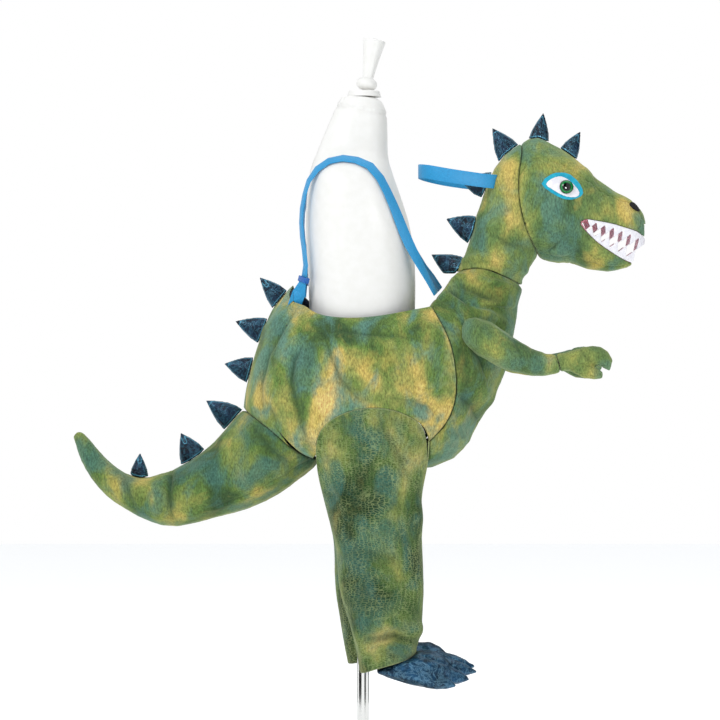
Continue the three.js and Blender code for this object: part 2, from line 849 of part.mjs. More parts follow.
// Tail
const tailEnds = ["topX", "topZ", "bottomX", "bottomZ"];
const tailBlock = (grow) => stuffed(tail, tailEnds, { sides: 14, steps: 2, power: 2.4, grow });
const tailSpace = prism([
  ...shifted(tailSeamLine, -seamGap - 0.05),
  [-82, 528],
  [-82, 300],
  [-700, 300],
  [-700, 800],
  [-240, 800],
]);
const tailWhole = tailBlock(0).intersect(tailSpace).subtract(legSpace);
addPair("tail", largest(tailWhole.intersect(rightSpace)), finish.plush);

// Head
function headBlock(grow) {
  const rings = [];
  head.forEach(({ x, top, bottom, half }, n) => {
    const end = n === 0 ? -grow : n === head.length - 1 ? grow : 0;
    rings.push(
      Array.from({ length: 24 }, (_, i) => {
        const turn = (Math.PI * i) / 12;
        return new Vector3(
          x + end,
          (half + grow) * squared(Math.sin(turn), headRound),
          (top + bottom) / 2 + ((top - bottom) / 2 + grow) * squared(Math.cos(turn), headRound),
        );
      }),
    );
  });
  return loft(rings);
}

// Plan outline of a strip that lies along the middle of the head.
function stripOutline(rows, grow) {
  const side = [];
  for (let x = 240; x <= 540; x += 20) side.push([x, read(rows, "x", x, "half") + grow]);
  return [...side, ...[...side].reverse().map(([x, y]) => [x, -y])];
}

const upperLine = spread(upperLip, "x", "z", 11);
const lowerLine = spread(lowerLip, "x", "z", 9);
// The open mouth, made smaller all round by an inset.
function mouthSpace(inset, y0 = -far, y1 = far) {
  const upper = shifted(upperLine, -inset);
  const lower = shifted(lowerLine, inset);
  upper[0] = [391 + inset * 1.4, 952 + Math.max(3 - inset, 0.2)];
  lower[0] = [391 + inset * 1.4, 952 - Math.max(3 - inset, 0.2)];
  return prism([...upper, [600, 915], [600, 860], ...lower.reverse()], y0, y1);
}
const splitZ = 952;
const headWhole = headBlock(0).intersect(headSpace(0)).subtract(mouthSpace(0));
const crownSpace = (grow) => slab(stripOutline(crownStrip, grow), splitZ + seamGap / 2 - grow, 1300);
const chinSpace = (grow) => slab(stripOutline(chinStrip, grow), 700, splitZ - seamGap / 2 + grow);
add("head_crown", largest(headWhole.intersect(crownSpace(0))), finish.plush);
add("head_chin", largest(headWhole.intersect(chinSpace(0))), finish.plush);
const headSides = headWhole.subtract(crownSpace(seamGap)).subtract(chinSpace(seamGap));
addPair("head", largest(headSides.intersect(rightSpace)), finish.plush);

add(
  "mouth_lining",
  largest(
    mouthSpace(0.35)
      .subtract(mouthSpace(0.35 + mouthLining))
      .intersect(headBlock(-5)),
  ),
  finish.pink,
);

// Teeth stand between the lip line and a zigzag part of the way to the other lip.
function toothOutline(near, other, count, tipShare, rootShare, first, last) {
  const [a, b] = [run(near), run(other)];
  const lip = [];
  const zigzag = [];
  for (let i = 0; i <= 2 * count; i += 1) {
    const share = lerp(first, last, i / (2 * count));
    const [p, q] = [a(share), b(share)];
    const deep = i % 2 ? tipShare : rootShare;
    lip.push(p);
    zigzag.push([lerp(p[0], q[0], deep), lerp(p[1], q[1], deep)]);
  }
  return [...lip, ...zigzag.reverse()];
}
const toothBand = headBlock(-1.6).subtract(headBlock(-4));
const upperEdge = shifted(upperLine, -0.4);
const lowerEdge = shifted(lowerLine, 0.4);
const upperTeeth = toothOutline(upperEdge, lowerEdge, 7, 0.54, 0.12, 0.12, 1);
const lowerTeeth = toothOutline(lowerEdge, upperEdge, 6, 0.46, 0.1, 0.14, 1);
add("teeth_upper", largest(toothBand.intersect(prism(upperTeeth))), finish.satin, 0.3);
add("teeth_lower", largest(toothBand.intersect(prism(lowerTeeth))), finish.satin, 0.3);

// Flat pieces sewn on the side of the head
function onHead(outline, from, to) {
  return largest(headBlock(to).subtract(headBlock(from)).intersect(prism(outline, -far, -8)));
}
const eyeRim = [
  [320, 1022], [337, 1039], [355, 1043], [373, 1039], [391, 1021],
  [396, 1006], [391, 999], [373, 993], [358, 995], [337, 1006],
];
const eyeWhite = [
  [328, 1021], [342, 1033], [358, 1035], [376, 1024], [389, 1006], [385, 999], [364, 999], [342, 1010],
];
const nostril = [[481, 988], [486, 992], [492, 990], [499, 982], [501, 974], [493, 975], [484, 982]];
addPair("eye_rim", onHead(closedLine(eyeRim), 0.35, 0.35 + feltThick), finish.aqua);
addPair("eye_white", onHead(closedLine(eyeWhite), 2.3, 2.3 + feltThick), finish.satin);
addPair("nostril", onHead(closedLine(nostril, 14), 0.35, 0.35 + 1.2), finish.black);
const eyeDome = new THREE.LatheGeometry(
  [[0, 0], [13, 0], [13, 1.5], [11.5, 4], [8, 6.2], [4, 7.3], [0, 7.6]].map(([r, h]) => new Vector2(r, h)),
  14,
);
eyeDome.rotateX(Math.PI - degToRad(10));
eyeDome.rotateZ(degToRad(4));
eyeDome.translate(365, -67.6, 1016);
addPair("eye_button", largest(solidOf(eyeDome).subtract(headBlock(4.25))), finish.eye, 0.1);

// Arms and hands
const armEnds = ["topX", "topZ", "bottomX", "bottomZ"];
const armWhole = stuffed(arm, armEnds, { sides: 12, steps: 1 });
const bodySpace = chestBlock(0.4).add(trunkSolid(0.4));
addPair("arm", largest(armWhole.subtract(bodySpace)), finish.plush);
const thumbBlock = stuffed(thumb, armEnds, { sides: 8, steps: 1 });
const handWhole = stuffed(palm, armEnds, { sides: 10, steps: 1 }).add(thumbBlock);
addPair("hand", largest(handWhole), finish.plush, 0.4);

// Feet, each with three puffed toes, cut round the trouser hem that hangs over them
function toeBlock({ tip, root, thick, high }) {
  const from = new Vector3(...root);
  const along = new Vector3(...tip).sub(from);
  const across = new Vector3(0, 0, 1).cross(along).normalize();
  const up = along.clone().cross(across).normalize();
  const rings = [];
  for (const [share, size] of [[0, 0.85], [0.35, 1], [0.6, 0.84], [0.8, 0.56], [0.94, 0.26], [1, 0.08]])
    rings.push(
      Array.from({ length: 8 }, (_, i) => {
        const turn = (Math.PI * i) / 4;
        return from
          .clone()
          .addScaledVector(along, share)
          .addScaledVector(across, thick * size * Math.cos(turn))
          .addScaledVector(up, high * size * Math.sin(turn));
      }),
    );
  return loft(rings);
}
const footWhole = toes.reduce(
  (sum, toe) => sum.add(toeBlock(toe)),
  stuffed(foot, armEnds, { sides: 12, steps: 1, power: 2.2 }),
);
const hemFor = ({ outer, inner }) => {
  const grown = legWall(outer, 1.1).add(legWall(inner, 1.1));
  return grown.add(grown.translate([0, 0, -0.6]));
};
const footCut = footWhole.subtract(hemFor(legs[0])).subtract(hemFor(legs[1]));
addPair("foot", largest(footCut), finish.foil, 1);

// Spikes
const spikeFloor = trunkSolid(0.6)
  .add(bodyWall(bodyAt, -0.9, clothThick))
  .add(mirrored(bodyWall(bodyAtLeft, -0.9, clothThick)))
  .add(neckBlock(0.6))
  .add(tailBlock(0.6))
  .add(headBlock(0.6));
for (const spike of spikes) {
  const rear = new Vector2(spike.rearX, spike.rearZ);
  const front = new Vector2(spike.frontX, spike.frontZ);
  const tip = new Vector2(spike.tipX, spike.tipZ);
  const root = rear.clone().add(front).multiplyScalar(0.5);
  const reach = front.clone().sub(rear).multiplyScalar(0.5);
  const rise = tip.clone().sub(root);
  const rings = [];
  for (const share of [-0.42, 0, 0.32, 0.64, 0.88, 1]) {
    const size = share < 0 ? 1.02 : Math.max(1 - share ** 1.55, 0.035);
    const thick = share < 0 ? spikeHalf : spikeHalf * Math.max((1 - share ** 1.8) * 0.98, 0.08);
    const centre = root.clone().addScaledVector(rise, share);
    rings.push(
      Array.from({ length: 8 }, (_, i) => {
        const turn = (Math.PI * i) / 4;
        const along = reach.clone().multiplyScalar(size * squared(Math.cos(turn), 2.1));
        return new Vector3(centre.x + along.x, thick * squared(Math.sin(turn), 1.6), centre.y + along.y);
      }),
    );
  }
  add(`spike_${spike.name}`, largest(loft(rings).subtract(spikeFloor)), finish.foil, 0.5);
}

// Dress form and stand
function torsoPoint(turn, z) {
  const back = read(torso, "z", z, "back");
  const front = read(torso, "z", z, "front");
  return new Vector3(
    (front + back) / 2 + ((front - back) / 2) * squared(Math.cos(turn), torsoRound),
    read(torso, "z", z, "half") * squared(Math.sin(turn), torsoRound),
    z,
  );
}
const torsoLevels = [
  1183, 1155, 1120, 1096, 1080, 1068, 1058, 1042, 1018, 980, 930, 860, 770, 690, 634, 600, 574,
];
const torsoRings = torsoLevels.map((z) => {
  const ring = Array.from({ length: 22 }, (_, i) => torsoPoint((Math.PI * i) / 11, z));
  if (z !== torsoLevels[0]) return ring;
  return ring.map((p) => new Vector3(-4 + (p.x + 4) * 0.84, p.y * 0.86, z));
});
add("form_torso", loft(torsoRings), finish.shell, 0.3);

function lathe(profile, steps = 40) {
  const shape = new THREE.LatheGeometry(profile.map(([r, z]) => new Vector2(r, z)), steps);
  return shape.rotateX(Math.PI / 2);
}
const neckPlate = lathe([[0, 0], [28, 0], [29, 2], [29, 8], [27, 10.5], [0, 11]], 24);
add("form_neck_plate", solidOf(neckPlate.translate(2, 0, 1183.4)), finish.shell);
const finial = lathe(
  [
    [0, 0], [9, 0.4], [16, 4], [19, 10], [18, 16], [13, 21], [10, 23.5],
    [12, 40], [16, 66], [20, 87], [20.5, 90], [18, 92.5], [0, 94.5],
  ],
  16,
);
add("form_finial", solidOf(finial.rotateY(neckTilt).translate(5, 0, 1196)), finish.shell);
const poleTop = 573.6;
const pole = new THREE.CylinderGeometry(poleRadius, poleRadius, poleTop - baseHigh - seamGap, 28);
pole.rotateX(Math.PI / 2);
pole.translate(0, 0, (poleTop + baseHigh + seamGap) / 2);
add("stand_pole", solidOf(pole), finish.steel);
const base = lathe(
  [
    [0, 0], [baseRadius - 1, 0], [baseRadius, 1],
    [baseRadius, baseHigh - 2], [baseRadius - 2, baseHigh], [0, baseHigh],
  ],
  32,
);
add("stand_base", solidOf(base), finish.steel);

// Webbing
// Flat band through points that carry the direction its face looks in.
function band(points, faces, wide, thick) {
  return loft(
    points.map((p, i) => {
      const next = points[Math.min(i + 1, points.length - 1)];
      const along = next.clone().sub(points[Math.max(i - 1, 0)]).normalize();
      const face = faces[i].clone().addScaledVector(along, -faces[i].dot(along)).normalize();
      const across = along.clone().cross(face);
      return [[1, 1], [-1, 1], [-1, -1], [1, -1]].map(([a, b]) =>
        p.clone().addScaledVector(across, (a * wide(i)) / 2).addScaledVector(face, (b * thick) / 2));
    }),
  );
}

// How far outside the dress form a point lies, and which way is out.
function offForm(p) {
  const level = (q) => {
    const back = read(torso, "z", q.z, "back");
    const front = read(torso, "z", q.z, "front");
    const x = Math.abs((2 * q.x - front - back) / (front - back));
    const y = Math.abs(q.y) / read(torso, "z", q.z, "half");
    return (x ** torsoRound + y ** torsoRound) ** (1 / torsoRound);
  };
  const slope = ["x", "y", "z"].map((axis) => {
    const [a, b] = [p.clone(), p.clone()];
    a[axis] += 0.5;
    b[axis] -= 0.5;
    return level(a) - level(b);
  });
  const out = new Vector3(...slope);
  return { gap: (level(p) - 1) / out.length(), out: out.normalize() };
}

const strap = table("x z y", [
  [131, 824, -62],
  [119, 846, -66],
  [99, 882, -74],
  [79, 920, -80],
  [60, 954, -84],
  [37, 1006, -88],
  [13, 1044, -86],
  [-9, 1060, -83],
  [-34, 1067, -80],
  [-59, 1062, -77],
  [-81, 1049, -73],
  [-97, 1028, -69],
  [-106, 999, -66],
  [-111, 967, -64],
  [-110, 931, -63],
  [-106, 904, -62],
  [-103, 877, -62],
  [-106, 852, -60],
  [-113, 832, -58],
  [-118, 818, -56],
  [-124, 802, -54],
]);

// One shoulder strap: narrow webbing down to its slider at the back, wide webbing below it.
// lead moves its front end forward.
function strapParts(lead, at) {
  const stations = strap.map(({ x, y, z }) => {
    const ahead = lead * smoothstep(x, 40, 131);
    return new Vector3(x + ahead, y, z + lead * smoothstep(x, 90, 131));
  });
  const line = new THREE.CatmullRomCurve3(stations).getSpacedPoints(24);
  const faces = line.map((p) => {
    const { gap, out } = offForm(p);
    const front = smoothstep(p.x, 20, 95);
    const clear = webThick / 2 + 1.6 + 3 * front;
    if (gap < clear) p.addScaledVector(out, clear - gap);
    const end = smoothstep(p.x, 62, 128);
    const low = p.x < 0 ? 1 - smoothstep(p.z, 812, 856) : 0;
    return out
      .clone()
      .lerp(new Vector3(0.25, -1, 0), Math.max(front, low))
      .lerp(new Vector3(0.9, -0.5, 0.5), 0.95 * end)
      .normalize();
  });
  const keep = line.findIndex((p, i) => i > 12 && p.z < 855);
  const wide = (i) => (i > keep ? anchorWide : strapWide);
  const fence = bodyWall(at, -1, clothThick + 2.7);
  const web = band(line, faces, wide, webThick).subtract(chestBlock(0.5)).subtract(fence);
  const along = line[keep + 1].clone().sub(line[keep - 1]).normalize();
  const face = faces[keep].clone();
  face.addScaledVector(along, -face.dot(along)).normalize();
  const turn = new THREE.Matrix4();
  turn.makeBasis(along.clone().cross(face), face, along).setPosition(line[keep]);
  const keeper = (x, y, z) => solidOf(new THREE.BoxGeometry(x, y, z).applyMatrix4(turn));
  const hole = keeper(anchorWide + 2, 7, 30);
  return { web: largest(web), slider: keeper(anchorWide + 5, 9.2, 10).subtract(hole) };
}
const rightStrap = strapParts(0, bodyAt);
const leftStrap = strapParts(11, bodyAtLeft);
add("strap_right", rightStrap.web, finish.web);
add("strap_left", mirrored(leftStrap.web), finish.web);
add("slider_right", rightStrap.slider, finish.buckle);
add("slider_left", mirrored(leftStrap.slider), finish.buckle);

// Rein loop, sewn to both sides of the neck
const reinCurve = new THREE.CatmullRomCurve3([
  [246, -36, 1027], [222, -50, 1028], [190, -56, 1032], [150, -57, 1038], [120, -48, 1044], [105, -26, 1047],
  [101, 0, 1048], [105, 26, 1047], [120, 48, 1044], [150, 57, 1038], [190, 56, 1032], [222, 50, 1028],
  [246, 36, 1027],
].map((p) => new Vector3(...p)));
const reinLine = reinCurve.getSpacedPoints(22);
const reinFaces = reinLine.map((p, i) => {
  const along = reinLine[Math.min(i + 1, 22)].clone().sub(reinLine[Math.max(i - 1, 0)]);
  return new Vector3(along.y, -along.x, 0).normalize();
});
const rein = band(reinLine, reinFaces, () => anchorWide + 1, webThick).subtract(neckBlock(0.5));
add("rein", largest(rein), finish.web);

export default costume;
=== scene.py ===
import bpy
import bmesh
import math
from mathutils import Matrix, Vector, kdtree, noise


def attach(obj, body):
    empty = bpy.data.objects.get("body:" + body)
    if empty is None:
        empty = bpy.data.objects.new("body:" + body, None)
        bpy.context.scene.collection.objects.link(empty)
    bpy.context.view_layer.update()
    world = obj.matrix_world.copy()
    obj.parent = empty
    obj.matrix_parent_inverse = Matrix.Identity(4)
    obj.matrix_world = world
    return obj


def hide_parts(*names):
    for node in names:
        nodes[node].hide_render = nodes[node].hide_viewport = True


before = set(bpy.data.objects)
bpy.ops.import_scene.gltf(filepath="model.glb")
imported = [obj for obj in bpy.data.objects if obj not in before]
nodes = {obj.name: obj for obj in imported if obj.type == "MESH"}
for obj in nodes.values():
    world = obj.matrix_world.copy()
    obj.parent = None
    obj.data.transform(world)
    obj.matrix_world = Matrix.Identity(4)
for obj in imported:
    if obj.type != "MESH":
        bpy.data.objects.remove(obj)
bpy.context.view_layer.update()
scene = bpy.context.scene
mm = 0.001
noise.seed_set(7)  # noise_vector starts from the time of day otherwise

# Camera: level, square on to the right side, with the picture's width (m) spanned in a plane near that side
view = dict(distance=5.4, across=-5.4 * mm, height=705.6 * mm, width=1.296, plane=-0.05)
cameraData = bpy.data.cameras.new("camera")
cameraData.sensor_width = 36
cameraData.lens = 36 * (view["distance"] + view["plane"]) / view["width"]
camera = bpy.data.objects.new("camera", cameraData)
camera.location = (view["across"], -view["distance"], view["height"])
camera.rotation_euler = (math.radians(90), 0, 0)
scene.collection.objects.link(camera)
scene.camera = camera


def linear(hexText):
    parts = [int(hexText[i : i + 2], 16) / 255 for i in (1, 3, 5)]
    return [c / 12.92 if c <= 0.04045 else ((c + 0.055) / 1.055) ** 2.4 for c in parts] + [1]


def addNode(tree, kind, inputs=None, out=0, stops=(), **settings):
    node = tree.nodes.new("ShaderNode" + kind)
    for name, value in settings.items():
        setattr(node, name, value)
    for place, value in (inputs or {}).items():
        if isinstance(value, bpy.types.NodeSocket):
            tree.links.new(value, node.inputs[place])
        else:
            node.inputs[place].default_value = value
    for i, (position, colour) in enumerate(stops):
        band = node.color_ramp.elements
        element = band[i] if i < len(band) else band.new(1.0)
        element.position = position
        element.color = linear(colour) if isinstance(colour, str) else [colour] * 3 + [1]
    return node.outputs[out]


def newMaterial(name, **settings):
    material = bpy.data.materials.new(name)
    material.use_nodes = True
    shader = material.node_tree.nodes["Principled BSDF"]
    for key, value in settings.items():
        shader.inputs[key.replace("_", " ")].default_value = value
    return material, material.node_tree, shader


# Printed polyester plush, knitted and brushed: the short pile scatters light at its tips,
# so it has a soft sheen and no gloss, and the dye runs in soft clouds longer than they are wide.
# Look of the plush; its darkest green is painted shade for the valleys of the folds
plushLook = dict(
    cloudMm=74, tealMm=52, streakMm=2.4, tuftMm=7, tuftHigh=1.2, pileMm=1.5, pileHigh=0.5,
    bendMm=60, patchMm=45, yellow="#c8ad58", tips="#dfe6c0", seamDark="#22382a", seamPale="#b4bd8c",
    scaleEdge="#a9b77c", deep="#28432f",
)
bodyClouds = [(0.33, "#3f5a35"), (0.44, "#65803f"), (0.52, "#8c9350"), (0.60, "#bfaa5c"), (0.72, "#d6bc74")]
headClouds = [(0.33, "#48663e"), (0.46, "#678048"), (0.57, "#8b954f"), (0.68, "#bfab60"), (0.8, "#c9b56c")]
tailClouds = [(0.34, "#38532f"), (0.48, "#587339"), (0.58, "#7f8b48"), (0.68, "#b3a257"), (0.8, "#c0ab62")]
legClouds = [(0.34, "#1c361b"), (0.46, "#355227"), (0.56, "#566e36"), (0.66, "#858a4b"), (0.78, "#b7a769")]


def plush(name, clouds, tealColour="#4d7b72", warm=0.5, teal=0.8, scaleMm=0, shift=0.0):
    look = plushLook
    material, tree, shader = newMaterial(name, Roughness=0.9, Sheen_Weight=0.35, Sheen_Roughness=0.5)
    shader.inputs["Specular IOR Level"].default_value = 0.2
    shader.inputs["Sheen Tint"].default_value = linear(look["tips"])
    place = addNode(tree, "TexCoord", out="Object")
    long = addNode(tree, "Mapping", {0: place, "Location": (shift, 0.31, 0.12), "Scale": (1, 1, 0.6)})
    cloud = addNode(tree, "TexNoise", {
        0: long, "Scale": 1000 / look["cloudMm"], "Detail": 3.0, "Roughness": 0.5, "Distortion": 0.35})
    dye = addNode(tree, "Attribute", out="Fac", attribute_name="dye")
    cloud = addNode(tree, "Math", {0: dye, 1: 0.11, 2: cloud}, operation="MULTIPLY_ADD")
    ground = addNode(tree, "ValToRGB", {0: cloud}, stops=clouds)
    other = addNode(tree, "Mapping", {0: place, "Location": (0.7 + shift, 0.2, 0.5), "Scale": (1, 1, 0.7)})
    blue = addNode(tree, "TexNoise", {
        0: other, "Scale": 1000 / look["tealMm"], "Detail": 4.0, "Roughness": 0.55, "Distortion": 0.5})
    blueDye = addNode(tree, "Attribute", out="Fac", attribute_name="blueDye")
    blue = addNode(tree, "Math", {0: blueDye, 1: 0.14, 2: blue}, operation="MULTIPLY_ADD")
    share = addNode(tree, "ValToRGB", {0: blue}, stops=[(0.46, 0.0), (0.62, teal)])
    dyed = addNode(tree, "Mix", {0: share, 6: ground, 7: linear(tealColour)}, 2, data_type="RGBA")
    pale = addNode(tree, "ValToRGB", {0: blue}, stops=[(0.2, warm), (0.4, 0.0)])
    dyed = addNode(tree, "Mix", {0: pale, 6: dyed, 7: linear(look["yellow"])}, 2, data_type="RGBA")
    thin = addNode(tree, "Mapping", {0: place, "Scale": (1, 1, 0.35)})
    streak = addNode(tree, "TexNoise", {
        0: thin, "Scale": 1000 / look["streakMm"], "Detail": 3.0, "Roughness": 0.7})
    grey = addNode(tree, "ValToRGB", {0: streak}, stops=[(0.3, 0.14), (0.7, 0.84)])
    dyed = addNode(tree, "Mix", {0: 0.7, 6: dyed, 7: grey}, 2, data_type="RGBA", blend_type="OVERLAY")
    # Painted shade: the valleys of the folds are darkened towards the darkest green
    hollow = addNode(tree, "Attribute", out="Fac", attribute_name="hollow")
    foldShadeShare = addNode(tree, "ValToRGB", {0: hollow}, stops=[(0.0, 0.0), (1.0, 0.6)])
    dyed = addNode(tree, "Mix", {0: foldShadeShare, 6: dyed, 7: linear(look["deep"])}, 2, data_type="RGBA")
    tufts = addNode(tree, "TexNoise", {
        0: place, "Scale": 1000 / look["tuftMm"], "Detail": 3.0, "Roughness": 0.6})
    normal = addNode(tree, "Bump", {"Height": tufts, "Strength": 0.35, "Distance": look["tuftHigh"] * mm})
    if scaleMm:  # embossed with flat crocodile scales whose edges catch the light
        bent = addNode(tree, "TexNoise", {0: place, "Scale": 1000 / look["bendMm"], "Detail": 1.0}, "Color")
        wavy = addNode(tree, "VectorMath", {0: bent, 1: [0.03] * 3, 2: place}, operation="MULTIPLY_ADD")
        flat = addNode(tree, "Mapping", {0: wavy, "Scale": (0.8, 0.8, 1.9)})
        cells = addNode(tree, "TexVoronoi", {
            0: flat, "Scale": 1000 / scaleMm, "Randomness": 0.6}, feature="DISTANCE_TO_EDGE")
        lines = addNode(tree, "ValToRGB", {0: cells}, stops=[(0.0, 0.62), (0.07, 0.25), (0.16, 0.0)])
        patchy = addNode(tree, "TexNoise", {0: place, "Scale": 1000 / look["patchMm"], "Detail": 2.0})
        kept = addNode(tree, "ValToRGB", {0: patchy}, stops=[(0.36, 0.2), (0.6, 0.8)])
        drawn = addNode(tree, "Math", {0: lines, 1: kept}, operation="MULTIPLY")
        # Painted highlight: the scale edges are mixed, in patches, towards a pale green
        dyed = addNode(tree, "Mix", {0: drawn, 6: dyed, 7: linear(look["scaleEdge"])}, 2, data_type="RGBA")
        normal = addNode(tree, "Bump", {
            "Height": cells, "Strength": 0.55, "Distance": 1.4 * mm, "Normal": normal})
    seam = addNode(tree, "Attribute", out="Fac", attribute_name="seam")
    edge = addNode(tree, "ValToRGB", {0: seam}, stops=[(0.72, 0.0), (0.97, 0.4 if scaleMm else 0.45)])
    edgeColour = linear(look["seamPale" if scaleMm else "seamDark"])
    dyed = addNode(tree, "Mix", {0: edge, 6: dyed, 7: edgeColour}, 2, data_type="RGBA")
    tree.links.new(dyed, shader.inputs["Base Color"])
    pile = addNode(tree, "TexNoise", {
        0: thin, "Scale": 1000 / look["pileMm"], "Detail": 2.0, "Roughness": 0.7})
    normal = addNode(tree, "Bump", {
        "Height": pile, "Strength": 0.45, "Distance": look["pileHigh"] * mm, "Normal": normal})
    tree.links.new(normal, shader.inputs["Normal"])
    return material


# Knit with a pressed metal foil: a broken metallic shine that wrinkles catch, dark where it turns away
def foil(name, deep, light, vein, veinShare, edgeShare=0.0, wrinkleMm=9):
    material, tree, shader = newMaterial(name, Metallic=0.55, Roughness=0.3)
    place = addNode(tree, "TexCoord", out="Object")
    tone = addNode(tree, "TexNoise", {0: place, "Scale": 1000 / 24, "Detail": 3.0, "Distortion": 0.6})
    coloured = addNode(tree, "ValToRGB", {0: tone}, stops=[(0.38, deep), (0.64, light)])
    crackle = addNode(tree, "TexNoise", {
        0: place, "Scale": 1000 / 16, "Detail": 5.0, "Roughness": 0.65, "Distortion": 1.2})
    veins = addNode(tree, "ValToRGB", {0: crackle}, stops=[(0.44, 0.0), (0.5, veinShare), (0.56, 0.0)])
    coloured = addNode(tree, "Mix", {0: veins, 6: coloured, 7: linear(vein)}, 2, data_type="RGBA")
    seam = addNode(tree, "Attribute", out="Fac", attribute_name="seam")
    stitched = [(0.36, 0.0), (0.44, edgeShare), (0.52, edgeShare), (0.6, 0.0)]
    edge = addNode(tree, "ValToRGB", {0: seam}, stops=stitched)
    coloured = addNode(tree, "Mix", {0: edge, 6: coloured, 7: linear(vein)}, 2, data_type="RGBA")
    tree.links.new(coloured, shader.inputs["Base Color"])
    crease = addNode(tree, "TexNoise", {
        0: place, "Scale": 1000 / wrinkleMm, "Detail": 4.0, "Roughness": 0.6, "Distortion": 1.4})
    normal = addNode(tree, "Bump", {"Height": crease, "Strength": 0.8, "Distance": 2.4 * mm})
    tree.links.new(normal, shader.inputs["Normal"])
    return material


# Plain cloths and matt plastics: two close shades over a fine grain
def plain(name, first, second, grainMm, roughness, strength=0.4, sheen=0.2):
    material, tree, shader = newMaterial(name, Roughness=roughness, Sheen_Weight=sheen)
    place = addNode(tree, "TexCoord", out="Object")
    tone = addNode(tree, "TexNoise", {0: place, "Scale": 1000 / (grainMm * 8), "Detail": 3.0})
    coloured = addNode(tree, "ValToRGB", {0: tone}, stops=[(0.35, first), (0.65, second)])
    tree.links.new(coloured, shader.inputs["Base Color"])
    grain = addNode(tree, "TexNoise", {0: place, "Scale": 1000 / grainMm, "Detail": 3.0, "Roughness": 0.7})
    normal = addNode(tree, "Bump", {"Height": grain, "Strength": strength, "Distance": 0.4 * mm})
    tree.links.new(normal, shader.inputs["Normal"])
    return material


# Woven polyester webbing: fine ribs across the band, a dull shine from the flat yarns
def webbing(name, first, second, ribMm=2.4):
    material, tree, shader = newMaterial(name, Roughness=0.55, Sheen_Weight=0.15)
    place = addNode(tree, "TexCoord", out="Object")
    ribs = addNode(tree, "TexWave", {
        0: place, "Scale": 1000 / ribMm / 6.28, "Distortion": 0.6, "Detail": 1.0}, bands_direction="DIAGONAL")
    grain = addNode(tree, "TexNoise", {0: place, "Scale": 1000 / 1.5, "Detail": 2.0})
    coloured = addNode(tree, "ValToRGB", {0: grain}, stops=[(0.3, first), (0.7, second)])
    tree.links.new(coloured, shader.inputs["Base Color"])
    normal = addNode(tree, "Bump", {"Height": ribs, "Strength": 0.3, "Distance": 0.4 * mm})
    normal = addNode(tree, "Bump", {
        "Height": grain, "Strength": 0.3, "Distance": 0.25 * mm, "Normal": normal})
    tree.links.new(normal, shader.inputs["Normal"])
    return material


bodyPlush = plush("printedPlushBody", bodyClouds, "#5b877c")
chestPlush = plush("printedPlushChest", tailClouds, "#4d7a70", 0.4, 0.75, shift=0.77)
armPlush = plush("printedPlushArms", headClouds, "#56837a", 0.7, 0.4, shift=0.9)
headPlush = plush("printedPlushHead", headClouds, "#56837a", 0.6, 0.6, shift=0.23)
tailPlush = plush("printedPlushTail", tailClouds, "#436f66", 0.4, 0.7, shift=0.41)
legHide = plush("embossedPlushLegs", legClouds, "#38645c", 0.3, 0.7, scaleMm=6, shift=0.57)
spikeFoil = foil("foiledKnitSpikes", "#081421", "#12304a", "#4f90aa", 0.32, 0.8)
footFoil = foil("foiledKnitFeet", "#0a2a40", "#1b5075", "#7db0cc", 0.4, wrinkleMm=7)
strapWeb = webbing("polyesterWebbing", "#0a86c0", "#199dd6")
liningCloth = plain("wovenLining", "#0b1730", "#13234a", 1.2, 0.85)
mouthCloth = plain("brushedPinkKnit", "#dd8094", "#f2b4c0", 1.5, 0.9)
toothSatin = plain("wovenSatin", "#e6e4ec", "#f4f3f8", 1.0, 0.45)
rimFelt = plain("feltBlue", "#0a9cbc", "#17b4d0", 0.9, 0.95)
nostrilFelt = plain("feltBlack", "#07060b", "#0d0b12", 0.9, 0.95, 0.3, 0.0)
formShell = plain("sprayedFormShell", "#ecebe7", "#efeeeb", 2.0, 0.42, 0.02, 0.0)
buckleNylon = plain("mouldedNylon", "#0f58a8", "#1766b8", 1.0, 0.38, 0.05, 0.0)

# Chromed steel tube: mirror bright, with faint long waves from drawing the tube
steelTube, tree, shader = newMaterial("chromedSteelTube", Metallic=1.0, Roughness=0.1)
shader.inputs["Base Color"].default_value = linear("#dcdcda")
place = addNode(tree, "TexCoord", out="Object")
waves = addNode(tree, "TexNoise", {0: place, "Scale": 1000 / 40, "Detail": 2.0})
normal = addNode(tree, "Bump", {"Height": waves, "Strength": 0.04, "Distance": 0.3 * mm})
tree.links.new(normal, shader.inputs["Normal"])

# Polished acrylic eye: a clear glossy dome that catches a light, over a black pupil and a green iris
eyeLook = dict(x=365, z=1016, radius=13)
eyeAcrylic, tree, shader = newMaterial("polishedAcrylicEye", Roughness=0.06, IOR=1.49)
place = addNode(tree, "TexCoord", out="Object")
middle = (-eyeLook["x"] * mm, 0, -eyeLook["z"] * mm)
flat = addNode(tree, "Mapping", {0: place, "Location": middle, "Scale": (1, 0, 1)})
away = addNode(tree, "VectorMath", {0: flat}, "Value", operation="LENGTH")
away = addNode(tree, "Math", {0: away, 1: 1000 / eyeLook["radius"]}, operation="MULTIPLY")
rings = addNode(tree, "ValToRGB", {0: away}, stops=[
    (0.0, "#020303"), (0.5, "#030504"), (0.57, "#0b4a25"), (0.72, "#178a42"), (0.84, "#0f6b33"),
    (0.94, "#04140b")])
tree.links.new(rings, shader.inputs["Base Color"])
print("materials made")


# Meshes
def mergedMesh(name):
    bm = bmesh.new()
    bm.from_mesh(nodes[name].data)
    bmesh.ops.remove_doubles(bm, verts=bm.verts, dist=0.00002)
    return bm


